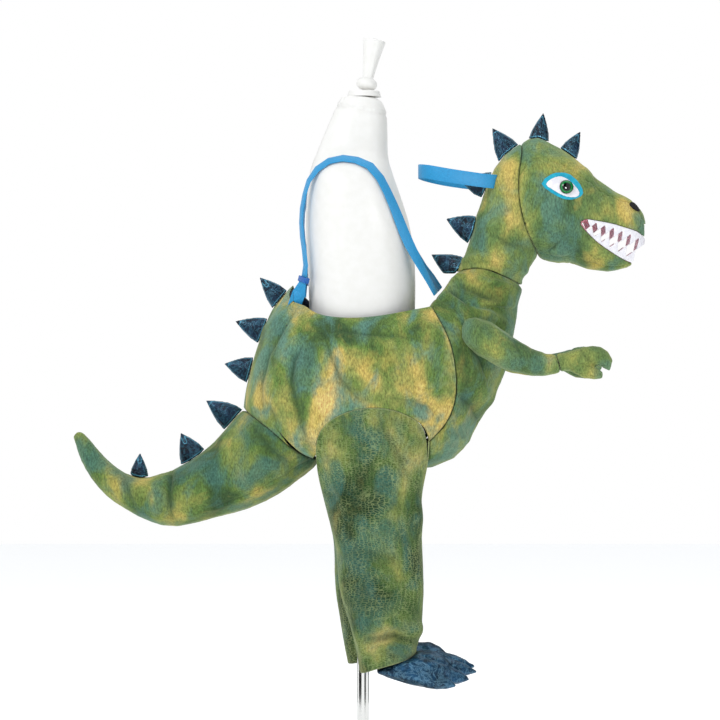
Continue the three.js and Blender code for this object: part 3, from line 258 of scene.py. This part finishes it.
# Points along the seams, which are the sharp edges of a solid and the free edges of a panel
def seamTree(bm, angle=42):
    points = []
    for edge in bm.edges:
        if edge.is_boundary or (len(edge.link_faces) == 2 and edge.calc_face_angle(0) > math.radians(angle)):
            a, b = edge.verts[0].co, edge.verts[1].co
            steps = max(1, int((b - a).length / 0.003))
            points += [a.lerp(b, i / steps) for i in range(steps + 1)]
    tree = kdtree.KDTree(max(len(points), 1))
    for i, point in enumerate(points):
        tree.insert(point, i)
    tree.balance()
    return tree, bool(points)


# The mesh that modifiers make of a mesh
def evaluated(bm, addModifiers):
    mesh = bpy.data.meshes.new("scratch")
    bm.to_mesh(mesh)
    bm.free()
    piece = bpy.data.objects.new("scratch", mesh)
    scene.collection.objects.link(piece)
    addModifiers(piece)
    shown = piece.evaluated_get(bpy.context.evaluated_depsgraph_get())
    result = bmesh.new()
    result.from_mesh(shown.to_mesh())
    shown.to_mesh_clear()
    bpy.data.objects.remove(piece)
    bpy.data.meshes.remove(mesh)
    return result


def remeshed(bm, voxel):
    def add(piece):
        modifier = piece.modifiers.new("remesh", "REMESH")
        modifier.mode = "VOXEL"
        modifier.voxel_size = voxel

    return evaluated(bm, add)


def subdivided(bm, levels):
    def add(piece):
        modifier = piece.modifiers.new("smooth", "SUBSURF")
        modifier.levels = modifier.render_levels = levels
        modifier.boundary_smooth = "PRESERVE_CORNERS"

    return evaluated(bm, add)


# How far a place in side view is from a path of places, and how far along the path that is
def nearest(x, z, path):
    best = (1e9, 0)
    for i, ((x0, z0), (x1, z1)) in enumerate(zip(path, path[1:])):
        dx, dz = x1 - x0, z1 - z0
        along = min(1, max(0, ((x - x0) * dx + (z - z0) * dz) / (dx * dx + dz * dz)))
        best = min(best, (math.hypot(x - x0 - along * dx, z - z0 - along * dz), i + along))
    return best


# How cloth behaves near its seams, folds and stitched lines (mm), and the fold depth at which the painted
# shade in a valley is darkest
clothLook = dict(
    foldGain=1.5, foldFade=10, swellFade=18, stitchDeep=1.5, stitchWide=2.4, seamReach=4.5, darkDeep=5)


# Folds are paths in side view with a height and a width (mm). A ridge is round, and a valley, with a negative
# height, is sharp. Each gets lower towards its ends.
def foldLift(x, z, folds):
    lift = 0
    for path, high, wide in folds:
        away, along = nearest(x, z, path)
        off = away / wide
        if off < 3:
            shape = math.exp(-1.5 * off) if high < 0 else math.exp(-off * off)
            ends = math.sin(math.pi * (0.14 + 0.72 * along / (len(path) - 1)))
            lift += clothLook["foldGain"] * high * shape * ends
    return lift


# Larger patches of the printed dye in side view (mm). Warm above 0 is yellow and below 0 dark green, and blue
# above 0 is teal.
dyePatches = [dict(zip(("x", "z", "radius", "warm", "blue"), row)) for row in [
    (16, 715, 30, 0.7, -0.6), (72, 676, 42, 1.0, -1.0), (-60, 648, 22, 0.7, -0.7),
    (-80, 600, 26, 0.7, -0.6), (-191, 645, 20, 0.8, -0.6), (-149, 646, 22, 0.5, -0.5),
    (60, 752, 34, -0.6, 0.1), (-30, 752, 34, -0.5, 0.2), (-164, 730, 44, -1.2, 0.2),
    (-122, 700, 34, -0.9, 0.4), (103, 718, 26, 0.1, 0.6), (67, 600, 30, -0.7, 0.1),
    (-20, 620, 24, 0.0, 0.6), (-150, 590, 26, -0.3, 0.3), (22, 603, 16, 0.9, -0.7),
    (97, 568, 18, 0.6, -0.5), (-56, 547, 18, 0.8, -0.7), (10, 560, 30, -0.2, 0.8),
    (66, 490, 28, 0.5, 0.1), (0, 459, 34, -1.3, 0.0), (-36, 432, 26, -0.7, -0.2),
    (-11, 410, 26, 0.6, -0.2), (-47, 490, 24, 0.0, 0.8), (-23, 364, 30, 0.0, 0.7),
    (79, 417, 28, 0.1, 0.6), (6, 332, 40, -1.3, 0.1), (80, 350, 30, -0.4, -0.2),
    (-17, 250, 36, -1.1, 0.0), (67, 268, 38, -1.1, -0.2), (36, 213, 20, 0.6, -0.4),
    (266, 1055, 20, 0.8, -0.7), (297, 1030, 22, 0.5, -0.4), (275, 960, 26, 0.9, -0.9),
    (423, 896, 28, 1.8, -1.6), (459, 980, 30, 1.4, -1.4), (383, 1051, 20, 0.6, -0.5),
    (247, 1084, 16, 0.0, 0.8), (362, 957, 30, -1.0, 0.3), (326, 914, 24, -0.7, 0.4),
    (221, 972, 18, 0.5, -0.4), (239, 889, 20, 0.8, -0.7), (200, 940, 24, 0.1, 0.5),
    (320, 990, 24, -0.3, 0.3),
]]


def addDye(bm):
    warm = bm.verts.layers.float.new("dye")
    blue = bm.verts.layers.float.new("blueDye")
    for vert in bm.verts:
        drift = noise.noise_vector(vert.co / (22 * mm)) * 14
        x, z = vert.co.x / mm + drift.x, vert.co.z / mm + drift.z
        for patch in dyePatches:
            off = math.hypot(x - patch["x"], 0.75 * (z - patch["z"])) / patch["radius"]
            if off < 2:
                share = math.exp(-off * off)
                vert[warm] += share * patch["warm"]
                vert[blue] += share * patch["blue"]


# Draws a skin in along its seams with small puckers, lets it swell between them, and adds its folds, stitched
# lines, moved corners and dye. Seam tells the materials how near the seams a place is, and the fold shade how
# far down a fold valley it lies, where the plush is darkened as painted shade.
def workCloth(bm, tree, pull, pullWide, wobble, wobbleWide, pucker, folds=(), stitches=(), corners=()):
    bm.normal_update()
    seam = bm.verts.layers.float.new("seam")
    hollow = bm.verts.layers.float.new("hollow")
    moves = []
    for vert in bm.verts:
        x, z = vert.co.x / mm, vert.co.z / mm
        away = tree.find(vert.co)[2] / mm
        waves = noise.noise(vert.co / (pucker * mm)) if pucker else 0
        swell = noise.noise(vert.co / (wobbleWide * mm) + Vector((3, 7, 1)))
        lift = -pull * math.exp(-((away / pullWide) ** 2)) * (0.75 + 0.8 * waves)
        lift += 0.9 * pull * waves * math.exp(-((away - pullWide) / (1.6 * pullWide)) ** 2)
        lift += wobble * swell * (1 - math.exp(-away / clothLook["swellFade"]))
        fold = foldLift(x, z, folds) * (1 - math.exp(-((away / clothLook["foldFade"]) ** 2)))
        if stitches:
            gap = min(nearest(x, z, path)[0] for path in stitches)
            lift -= clothLook["stitchDeep"] * math.exp(-((gap / clothLook["stitchWide"]) ** 2))
            away = min(away, gap)
        move = vert.normal * (lift + fold) * mm
        for cornerX, cornerZ, right, up, reach in corners:
            off = math.hypot(x - cornerX, z - cornerZ) / reach
            move += Vector((right, 0, up)) * mm * math.exp(-off * off)
        moves.append(move)
        vert[seam] = math.exp(-away / clothLook["seamReach"])
        # Painted shade: the further down a fold valley a place lies, the darker it is painted
        vert[hollow] = min(1, max(0, -fold / clothLook["darkDeep"]))
    addDye(bm)
    for vert, move in zip(bm.verts, moves):
        vert.co += move
    return bm


# A finished object in its place, with its material, hung under the root in place of the imported part, which
# it hides
def makePiece(name, bm, material, node):
    mesh = bpy.data.meshes.new(name)
    bm.to_mesh(mesh)
    bm.free()
    mesh.polygons.foreach_set("use_smooth", [True] * len(mesh.polygons))
    piece = bpy.data.objects.new(name, mesh)
    scene.collection.objects.link(piece)
    piece.data.materials.append(material)
    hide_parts(node)
    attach(piece, "root")
    return piece


# A filled piece, with a fine skin that is drawn in along its seams
def stuffedPiece(name, node, material, slotName, voxel, smooth=2, fill=0.75, padded=True, **work):
    bm = mergedMesh(node)
    tree, found = seamTree(bm)
    bm = remeshed(bm, voxel * mm)
    for _ in range(smooth):
        bmesh.ops.smooth_vert(
            bm, verts=bm.verts, factor=0.5, use_axis_x=True, use_axis_y=True, use_axis_z=True)
    if found:
        settings = dict(pull=0.9, pullWide=5, wobble=2.2, wobbleWide=38, pucker=7)
        settings.update(work)
        workCloth(bm, tree, **settings)
    piece = makePiece(name, bm, material, node)
    return piece


# Groups of faces that no sharp edge divides, the largest first
def skinPieces(bm, angle=50):
    bm.faces.ensure_lookup_table()
    left = set(bm.faces)
    groups = []
    while left:
        start = left.pop()
        group, queue = {start}, [start]
        while queue:
            face = queue.pop()
            for edge in face.edges:
                if len(edge.link_faces) != 2 or edge.calc_face_angle(0) > math.radians(angle):
                    continue
                for other in edge.link_faces:
                    if other in left:
                        left.discard(other)
                        group.add(other)
                        queue.append(other)
        groups.append(group)
    groups.sort(key=lambda g: -sum(f.calc_area() for f in g))
    return groups


# The outer face of a wall as one smooth sheet of quads that keeps its corners
def panelSkin(node, levels):
    bm = mergedMesh(node)
    outer = skinPieces(bm)[0]
    drop = [f for f in bm.faces if f not in outer]
    bmesh.ops.delete(bm, geom=drop, context="FACES")
    flat, skew = math.radians(40), math.radians(60)
    bmesh.ops.join_triangles(bm, faces=bm.faces, angle_face_threshold=flat, angle_shape_threshold=skew)
    crease = bm.verts.layers.float.new("crease_vert")
    for vert in bm.verts:
        ends = [edge.other_vert(vert).co - vert.co for edge in vert.link_edges if edge.is_boundary]
        if len(ends) == 2 and ends[0].angle(ends[1]) < math.radians(130):
            vert[crease] = 1
    return subdivided(bm, levels)


# One layer of cloth on the outer face of its solid
def clothPanel(name, node, material, slotName, thick, flat, held, rests, levels=3, **work):
    bm = panelSkin(node, levels)
    tree = seamTree(bm, 80)[0]
    settings = dict(pull=0.8, pullWide=4, wobble=2.2, wobbleWide=42, pucker=8)
    settings.update(work)
    workCloth(bm, tree, **settings)
    area = sum(f.calc_area() for f in bm.faces)
    piece = makePiece(name, bm, material, node)
    wall = piece.modifiers.new("thickness", "SOLIDIFY")
    wall.thickness = thick * mm
    wall.offset = -1
    print(name, "area", round(area, 4), "faces", len(piece.data.polygons))
    return piece


# Body: cloth drawn over the wearer's hollow, with the folds that the straps and the leg seams pull into it.
# Corners move a corner of the cloth towards the seam it meets: x, z, move right, move up, reach (mm).
bodyWork = dict(
    folds=[
        ([(-122, 792), (-146, 756), (-170, 715), (-184, 660), (-180, 618)], -4.0, 7),
        ([(-112, 786), (-128, 740), (-150, 690), (-162, 640)], 4.0, 11),
        ([(-110, 728), (-122, 704), (-128, 668), (-116, 616), (-98, 552)], -5.0, 8),
        ([(-146, 650), (-134, 606), (-112, 566)], 3.5, 9),
        ([(-168, 630), (-154, 590), (-136, 562)], -3.0, 7),
        ([(-94, 774), (-76, 724), (-66, 690)], 3.5, 9),
        ([(-72, 758), (-58, 714), (-38, 668), (-2, 632)], -3.6, 8),
        ([(-40, 740), (-22, 700), (-4, 670)], 2.5, 11),
        ([(-62, 700), (-74, 640), (-84, 594)], 3.0, 12),
        ([(-60, 762), (0, 752), (64, 748), (138, 734)], -2.4, 7),
        ([(-20, 742), (56, 734), (128, 716)], 2.5, 9),
        ([(96, 784), (124, 762), (140, 744)], 2.5, 8),
        ([(28, 660), (86, 652), (142, 660)], 2.6, 14),
        ([(40, 640), (92, 632), (132, 612)], -2.4, 8),
        ([(-196, 740), (-176, 764), (-142, 790)], 3.0, 8),
    ],
    corners=[(-92, 545, 8.0, -3.5, 11), (112, 556, -4.5, -2.5, 9)],
    wobble=3.0, wobbleWide=55, pull=0.4,
)
for side in ("right", "left"):
    clothPanel("bodyPanel." + side, "body_" + side, bodyPlush, "plush", 2.4, (0.44, 0.33), "stretched",
               ["form_torso"], **bodyWork)

# Trouser legs: bloused over the ankle and drawn up in front by the foot
legWork = dict(
    folds=[
        ([(30, 596), (62, 540), (88, 486)], -4.2, 10), ([(-70, 536), (-40, 470), (-24, 430)], 4.8, 11),
        ([(-66, 470), (-10, 452), (60, 446)], -3.8, 9), ([(-44, 400), (10, 414), (70, 400)], 4.2, 13),
        ([(-44, 352), (0, 366), (60, 350)], -3.8, 10), ([(-44, 318), (20, 300), (90, 306)], 4.2, 14),
        ([(-36, 262), (10, 276), (70, 262)], -4.2, 11), ([(10, 236), (60, 240), (104, 222)], 8.0, 12),
        ([(0, 206), (56, 216), (100, 200)], -8.0, 8), ([(10, 190), (54, 196), (88, 184)], 7.2, 8),
        ([(46, 186), (60, 172), (66, 160)], -5.6, 6), ([(22, 186), (30, 168), (36, 156)], 4.8, 7),
        ([(-12, 230), (-2, 200), (4, 168)], 4.8, 8), ([(92, 470), (100, 420), (98, 380)], 4.2, 9),
    ],
    stitches=[[(-3.6, 612), (-2, 600), (3, 588), (5.4, 567)]],
    wobble=5.0, wobbleWide=52, pull=0.5,
)
for side in ("right", "left"):
    for part in ("outer", "inner"):
        clothPanel(f"legPanel.{part}.{side}", f"leg_{part}_{side}", legHide, "hide", 2.4, (0.26, 0.48),
                   "hung", [f"bodyPanel.{side}"], **legWork)

clothPanel("waistLining", "waist_lining", liningCloth, "lining", 1.0, (0.62, 0.045), "hung",
           ["bodyPanel.right"], levels=2, pull=0.4, wobble=0.8)
print("cloth panels made")

# Stuffed chest, neck and tail, each of two halves sewn along the middle
chestWork = dict(
    voxel=3.0, pull=0.5, smooth=1,
    folds=[([(150, 835), (180, 812), (196, 790)], -6.4, 7),
           ([(160, 818), (190, 800), (222, 790), (262, 764)], 5.6, 9),
           ([(176, 838), (214, 820), (262, 806)], -4.8, 8), ([(170, 700), (214, 668), (236, 620)], 4.8, 14),
           ([(160, 650), (196, 622), (214, 584)], -4.8, 12), ([(196, 738), (214, 700), (224, 660)], -4.2, 10),
           ([(130, 560), (160, 570), (190, 560)], 4.0, 9), ([(200, 852), (240, 842), (276, 836)], 6.4, 9)],
    stitches=[[(135, 817), (157, 803), (176, 781)]],
    corners=[(298, 843, -4.0, -5.0, 13)],
)
neckWork = dict(
    voxel=3.0, pull=0.5, smooth=1,
    folds=[([(176, 882), (210, 890), (240, 886)], 6.3, 9), ([(222, 869), (240, 862), (262, 850)], -7.0, 6),
           ([(236, 884), (268, 872), (296, 866)], 6.3, 8), ([(226, 936), (262, 914), (300, 908)], -3.6, 11),
           ([(206, 976), (226, 940), (232, 900)], 3.5, 14), ([(280, 1016), (300, 980), (306, 940)], 3.5, 12)],
)
tailWork = dict(
    voxel=3.0, pull=0.5, smooth=1,
    folds=[([(-346, 512), (-349, 472), (-344, 418)], -6.0, 7),
           ([(-366, 500), (-372, 456), (-366, 412)], 3.4, 12),
           ([(-250, 560), (-214, 520), (-196, 470)], 3.9, 15),
           ([(-200, 590), (-160, 540), (-128, 520)], -3.9, 12),
           ([(-292, 520), (-286, 480), (-270, 440)], 3.2, 14),
           ([(-430, 500), (-424, 470), (-412, 436)], -2.9, 10),
           ([(-212, 566), (-182, 536), (-140, 500)], 3.9, 10)],
    stitches=[[(-158, 490), (-120, 512), (-95, 526)], [(-268, 440), (-212, 462), (-158, 490)]],
)
for side in ("right", "left"):
    stuffedPiece("chestHalf." + side, "chest_" + side, chestPlush, "plush", **chestWork)
    stuffedPiece("neckHalf." + side, "neck_" + side, headPlush, "plush", **neckWork)
    stuffedPiece("tailHalf." + side, "tail_" + side, tailPlush, "plush", **tailWork)

# Head: two side panels, a strip over the crown and nose, and a strip under the chin
headWork = dict(
    voxel=2.4, pull=0.8, pullWide=3.5, wobble=1.4, wobbleWide=30,
    folds=[([(340, 892), (356, 900), (376, 884)], 4, 6), ([(332, 898), (344, 908), (352, 918)], -3, 5),
           ([(374, 880), (386, 896), (392, 912)], -3, 6), ([(418, 1040), (424, 1022), (426, 1000)], -2.6, 5),
           ([(404, 1050), (412, 1026), (414, 1008)], 2.4, 6),
           ([(300, 1040), (318, 1058), (350, 1064)], 2.0, 8),
           ([(392, 1000), (404, 980), (396, 966)], 2.2, 8)],
    stitches=[[(491, 995), (500, 983), (504, 967), (502, 949), (497, 941)]],
)
for side in ("right", "left"):
    stuffedPiece("headSide." + side, "head_" + side, headPlush, "plush", **headWork)
stuffedPiece("headCrown", "head_crown", headPlush, "plush", **headWork)
stuffedPiece("headChin", "head_chin", headPlush, "plush", **headWork)

# Arms and mitts, of the same plush as the chest
armWork = dict(
    voxel=2.4, pull=1.4, wobble=1.6, wobbleWide=26,
    folds=[([(196, 772), (222, 742), (246, 704)], 2.6, 9), ([(262, 756), (276, 724), (282, 690)], -2.6, 8),
           ([(318, 716), (322, 698), (320, 682)], 1.6, 6), ([(226, 730), (262, 714), (300, 700)], 2.0, 9)],
)
mittWork = dict(
    voxel=1.8, pull=1.0, pullWide=3, wobble=1.0, wobbleWide=18,
    folds=[([(386, 726), (400, 704), (420, 690)], -3.0, 4), ([(398, 722), (418, 714), (430, 702)], 1.6, 7)],
)
for side in ("right", "left"):
    stuffedPiece("armTube." + side, "arm_" + side, armPlush, "plush", **armWork)
    stuffedPiece("armMitt." + side, "hand_" + side, armPlush, "plush", **mittWork)

# Feet of foiled knit with puffed toes
footWork = dict(
    voxel=2.3, pull=1.2, pullWide=3, wobble=1.8, wobbleWide=18,
    folds=[([(96, 184), (130, 172), (170, 156), (204, 150)], -2.4, 5),
           ([(70, 160), (110, 150), (160, 140)], -2.2, 5),
           ([(84, 176), (120, 162), (160, 150)], 2.0, 6)],
)
for side in ("right", "left"):
    stuffedPiece("footPad." + side, "foot_" + side, footFoil, "foil", **footWork)

stuffedPiece("crotchGusset", "crotch_gusset", bodyPlush, "plush", voxel=1.6, pull=0.1, wobble=0.2, smooth=1,
             padded=False)

spikeWork = dict(voxel=1.6, pull=0.3, pullWide=2.5, wobble=1.2, wobbleWide=12, smooth=1, fill=0.6)
for name in [n for n in nodes if n.startswith("spike_")]:
    stuffedPiece("spike" + name[5:].title().replace("_", ""), name, spikeFoil, "foil", **spikeWork)
print("stuffed pieces made")

# Small felt and satin pieces
for name, material, slotName, voxel in (
    ("mouth_lining", mouthCloth, "mouth", 1.2), ("teeth_upper", toothSatin, "satin", 1.1),
    ("teeth_lower", toothSatin, "satin", 1.1), ("eye_rim_right", rimFelt, "felt_blue", 1.0),
    ("eye_rim_left", rimFelt, "felt_blue", 1.0), ("eye_white_right", toothSatin, "satin", 1.0),
    ("eye_white_left", toothSatin, "satin", 1.0), ("nostril_right", nostrilFelt, "felt_black", 0.8),
    ("nostril_left", nostrilFelt, "felt_black", 0.8),
):
    stuffedPiece("soft" + name.title().replace("_", ""), name, material, slotName, voxel=voxel, pull=0.05,
                 pullWide=1, wobble=0.15, wobbleWide=8, pucker=0, smooth=1, padded=False)
for side in ("right", "left"):
    bm = subdivided(mergedMesh("eye_button_" + side), 2)
    makePiece("eyeButton." + side, bm, eyeAcrylic, "eye_button_" + side)


# Webbing and buckles
def bevelledPiece(name, node, material, width, segments=2):
    bm = mergedMesh(node)
    bmesh.ops.dissolve_limit(bm, angle_limit=math.radians(1), verts=bm.verts, edges=bm.edges)
    sharp = [e for e in bm.edges if len(e.link_faces) == 2 and e.calc_face_angle(0) > math.radians(40)]
    bmesh.ops.bevel(bm, geom=sharp, offset=width * mm, segments=segments, profile=0.5, affect="EDGES",
                    material=-1)
    bmesh.ops.triangulate(bm, faces=bm.faces)
    return makePiece(name, bm, material, node)


for side in ("right", "left"):
    bevelledPiece("shoulderStrap." + side, "strap_" + side, strapWeb, 0.45)
    bevelledPiece("strapSlider." + side, "slider_" + side, buckleNylon, 0.6)
bevelledPiece("reinLoop", "rein", strapWeb, 0.45)
print("webbing made")


# Dress form and stand
bm = subdivided(mergedMesh("form_torso"), 3)
for vert in bm.verts:  # groove under the moulded collar, which slopes down to the front
    x, z = vert.co.x / mm, vert.co.z / mm
    off = (z - 1157 + 0.17 * x) / 2.4
    if abs(off) < 6:
        step = 2.4 * math.exp(-off * off) - 1.2 * math.exp(-((off - 2.6) ** 2))
        vert.co -= Vector((x + 5, vert.co.y / mm, 0)).normalized() * step * mm
makePiece("formTorso", bm, formShell, "form_torso")


# A round part from its half profile (radius and height in mm)
def turned(profile, steps=96):
    bm = bmesh.new()
    verts = [bm.verts.new((r * mm, 0, z * mm)) for r, z in profile]
    edges = [bm.edges.new(pair) for pair in zip(verts, verts[1:])]
    bmesh.ops.spin(bm, geom=verts + edges, cent=(0, 0, 0), axis=(0, 0, 1), angle=2 * math.pi, steps=steps,
                   use_merge=True)
    bmesh.ops.remove_doubles(bm, verts=bm.verts, dist=1e-6)
    bmesh.ops.recalc_face_normals(bm, faces=bm.faces)
    return bm


# Keeps the edges of a smooth shaded part crisp
def softened(bm, angle=28):
    for edge in bm.edges:
        edge.smooth = not (len(edge.link_faces) == 2 and edge.calc_face_angle(0) > math.radians(angle))
    return bm


finialProfile = [
    (0, 0), (9, 0.2), (13, 1.6), (16.5, 4.6), (18.6, 8.4), (19, 11), (18.2, 15), (15.6, 18.6), (12.6, 21),
    (10.4, 22.4), (10, 24), (10.6, 30), (12, 40), (14, 53), (16, 66), (18.4, 79), (20.4, 88.4), (20.5, 90.4),
    (19.4, 92), (17.6, 92.6), (8, 94.2), (0, 94.5),
]
bm = turned(finialProfile)
bmesh.ops.rotate(bm, verts=bm.verts, cent=(0, 0, 0), matrix=Matrix.Rotation(math.radians(10), 3, "Y"))
bmesh.ops.translate(bm, verts=bm.verts, vec=(5 * mm, 0, 1196 * mm))
makePiece("formFinial", softened(bm, 40), formShell, "form_finial")
plateProfile = [(0, 0), (31.5, 0), (31, 1.4), (29.6, 4.4), (29, 7.4), (28.6, 9.4), (27.2, 10.8), (24, 11)]
bm = turned(plateProfile + [(0, 11)])
bmesh.ops.translate(bm, verts=bm.verts, vec=(2 * mm, 0, 1183.4 * mm))
makePiece("formNeckPlate", softened(bm, 40), formShell, "form_neck_plate")
bm = turned([(0, 9.3), (11, 9.3), (11, 573.6), (0, 573.6)], 64)
makePiece("standPole", softened(bm), steelTube, "stand_pole")
bm = turned([(0, 0), (154, 0), (155, 1), (155, 7), (154.4, 8.4), (153, 9), (0, 9)], 128)
makePiece("standBase", softened(bm), steelTube, "stand_base")
print("form and stand made")

# Pale floor and backdrop, and soft studio light
bm = bmesh.new()
bmesh.ops.create_grid(bm, x_segments=2, y_segments=2, size=6)
mesh = bpy.data.meshes.new("floor")
bm.to_mesh(mesh)
bm.free()
floor = bpy.data.objects.new("floor", mesh)
scene.collection.objects.link(floor)
floorPaint, floorTree, floorShader = newMaterial("mattFloorPaint", Roughness=0.8)
floorShader.inputs["Base Color"].default_value = linear("#f4f4f4")
floorShader.inputs["Emission Color"].default_value = linear("#ffffff")
floorShader.inputs["Emission Strength"].default_value = 0.4
floor.data.materials.append(floorPaint)
scene.view_settings.view_transform = "Standard"

# A bright even room, with dark bands that only the polished tube picks up
world = bpy.data.worlds.new("studio")
scene.world = world
world.use_nodes = True
tree = world.node_tree
around = addNode(tree, "TexCoord", out="Generated")
level = addNode(tree, "Mapping", {0: around, "Scale": (1, 1, 0)})
bands = addNode(tree, "TexWave", {0: level, "Scale": 0.3, "Phase Offset": 0.9}, bands_direction="X")
tones = addNode(tree, "ValToRGB", {0: bands}, stops=[(0.3, 0.03), (0.6, 0.95)])
glossy = addNode(tree, "LightPath", out="Is Glossy Ray")
seen = addNode(tree, "LightPath", out="Is Camera Ray")
room = addNode(tree, "Mix", {0: glossy, 6: (0.6, 0.62, 0.64, 1), 7: tones}, 2, data_type="RGBA")
room = addNode(tree, "Mix", {0: seen, 6: room, 7: (1.0, 1.0, 1.0, 1)}, 2, data_type="RGBA")
tree.links.new(room, tree.nodes["Background"].inputs["Color"])
tree.nodes["Background"].inputs["Strength"].default_value = 1.0


def areaLight(name, place, target, size, power):
    data = bpy.data.lights.new(name, "AREA")
    data.size = size
    data.energy = power
    light = bpy.data.objects.new(name, data)
    light.location = place
    light.rotation_euler = (Vector(target) - Vector(place)).to_track_quat("-Z", "Y").to_euler()
    scene.collection.objects.link(light)


areaLight("key", (-1.6, -2.4, 3.0), (0, 0, 0.75), 1.3, 48)
areaLight("fill", (2.6, -2.2, 1.4), (0, 0, 0.7), 2.2, 8)
areaLight("top", (0.2, 0.6, 3.2), (0, 0, 0.8), 2.0, 18)

# Catch light in the eye, too weak to light the cloth
areaLight("catch", (0.36, -0.56, 1.06), (0.365, -0.08, 1.016), 0.11, 1.4)
catch = bpy.data.objects["catch"]
catch.visible_camera = catch.visible_diffuse = False

# Dark flags round the stand, which only show as bands in the polished tube and the foil. Turn 0 is the
# camera's side.
flags = [
    dict(turn=-56, wide=0.8), dict(turn=42, wide=0.4), dict(turn=148, wide=0.6), dict(turn=-148, wide=0.4),
]
flagCloth = newMaterial("blackFlagCloth", Base_Color=(0.01, 0.01, 0.01, 1), Roughness=0.9)[0]
for i, flag in enumerate(flags):
    bm = bmesh.new()
    bmesh.ops.create_grid(bm, x_segments=1, y_segments=1, size=0.5)
    bmesh.ops.scale(bm, verts=bm.verts, vec=(flag["wide"], 0.5, 1))
    bmesh.ops.rotate(bm, verts=bm.verts, matrix=Matrix.Rotation(math.radians(90), 3, "X"))
    bmesh.ops.translate(bm, verts=bm.verts, vec=(0, -0.7, 0.252))
    bmesh.ops.rotate(bm, verts=bm.verts, matrix=Matrix.Rotation(math.radians(flag["turn"]), 3, "Z"))
    mesh = bpy.data.meshes.new(f"flag{i}")
    bm.to_mesh(mesh)
    bm.free()
    board = bpy.data.objects.new(f"flag{i}", mesh)
    board.data.materials.append(flagCloth)
    scene.collection.objects.link(board)
    board.visible_camera = board.visible_diffuse = board.visible_shadow = board.visible_transmission = False
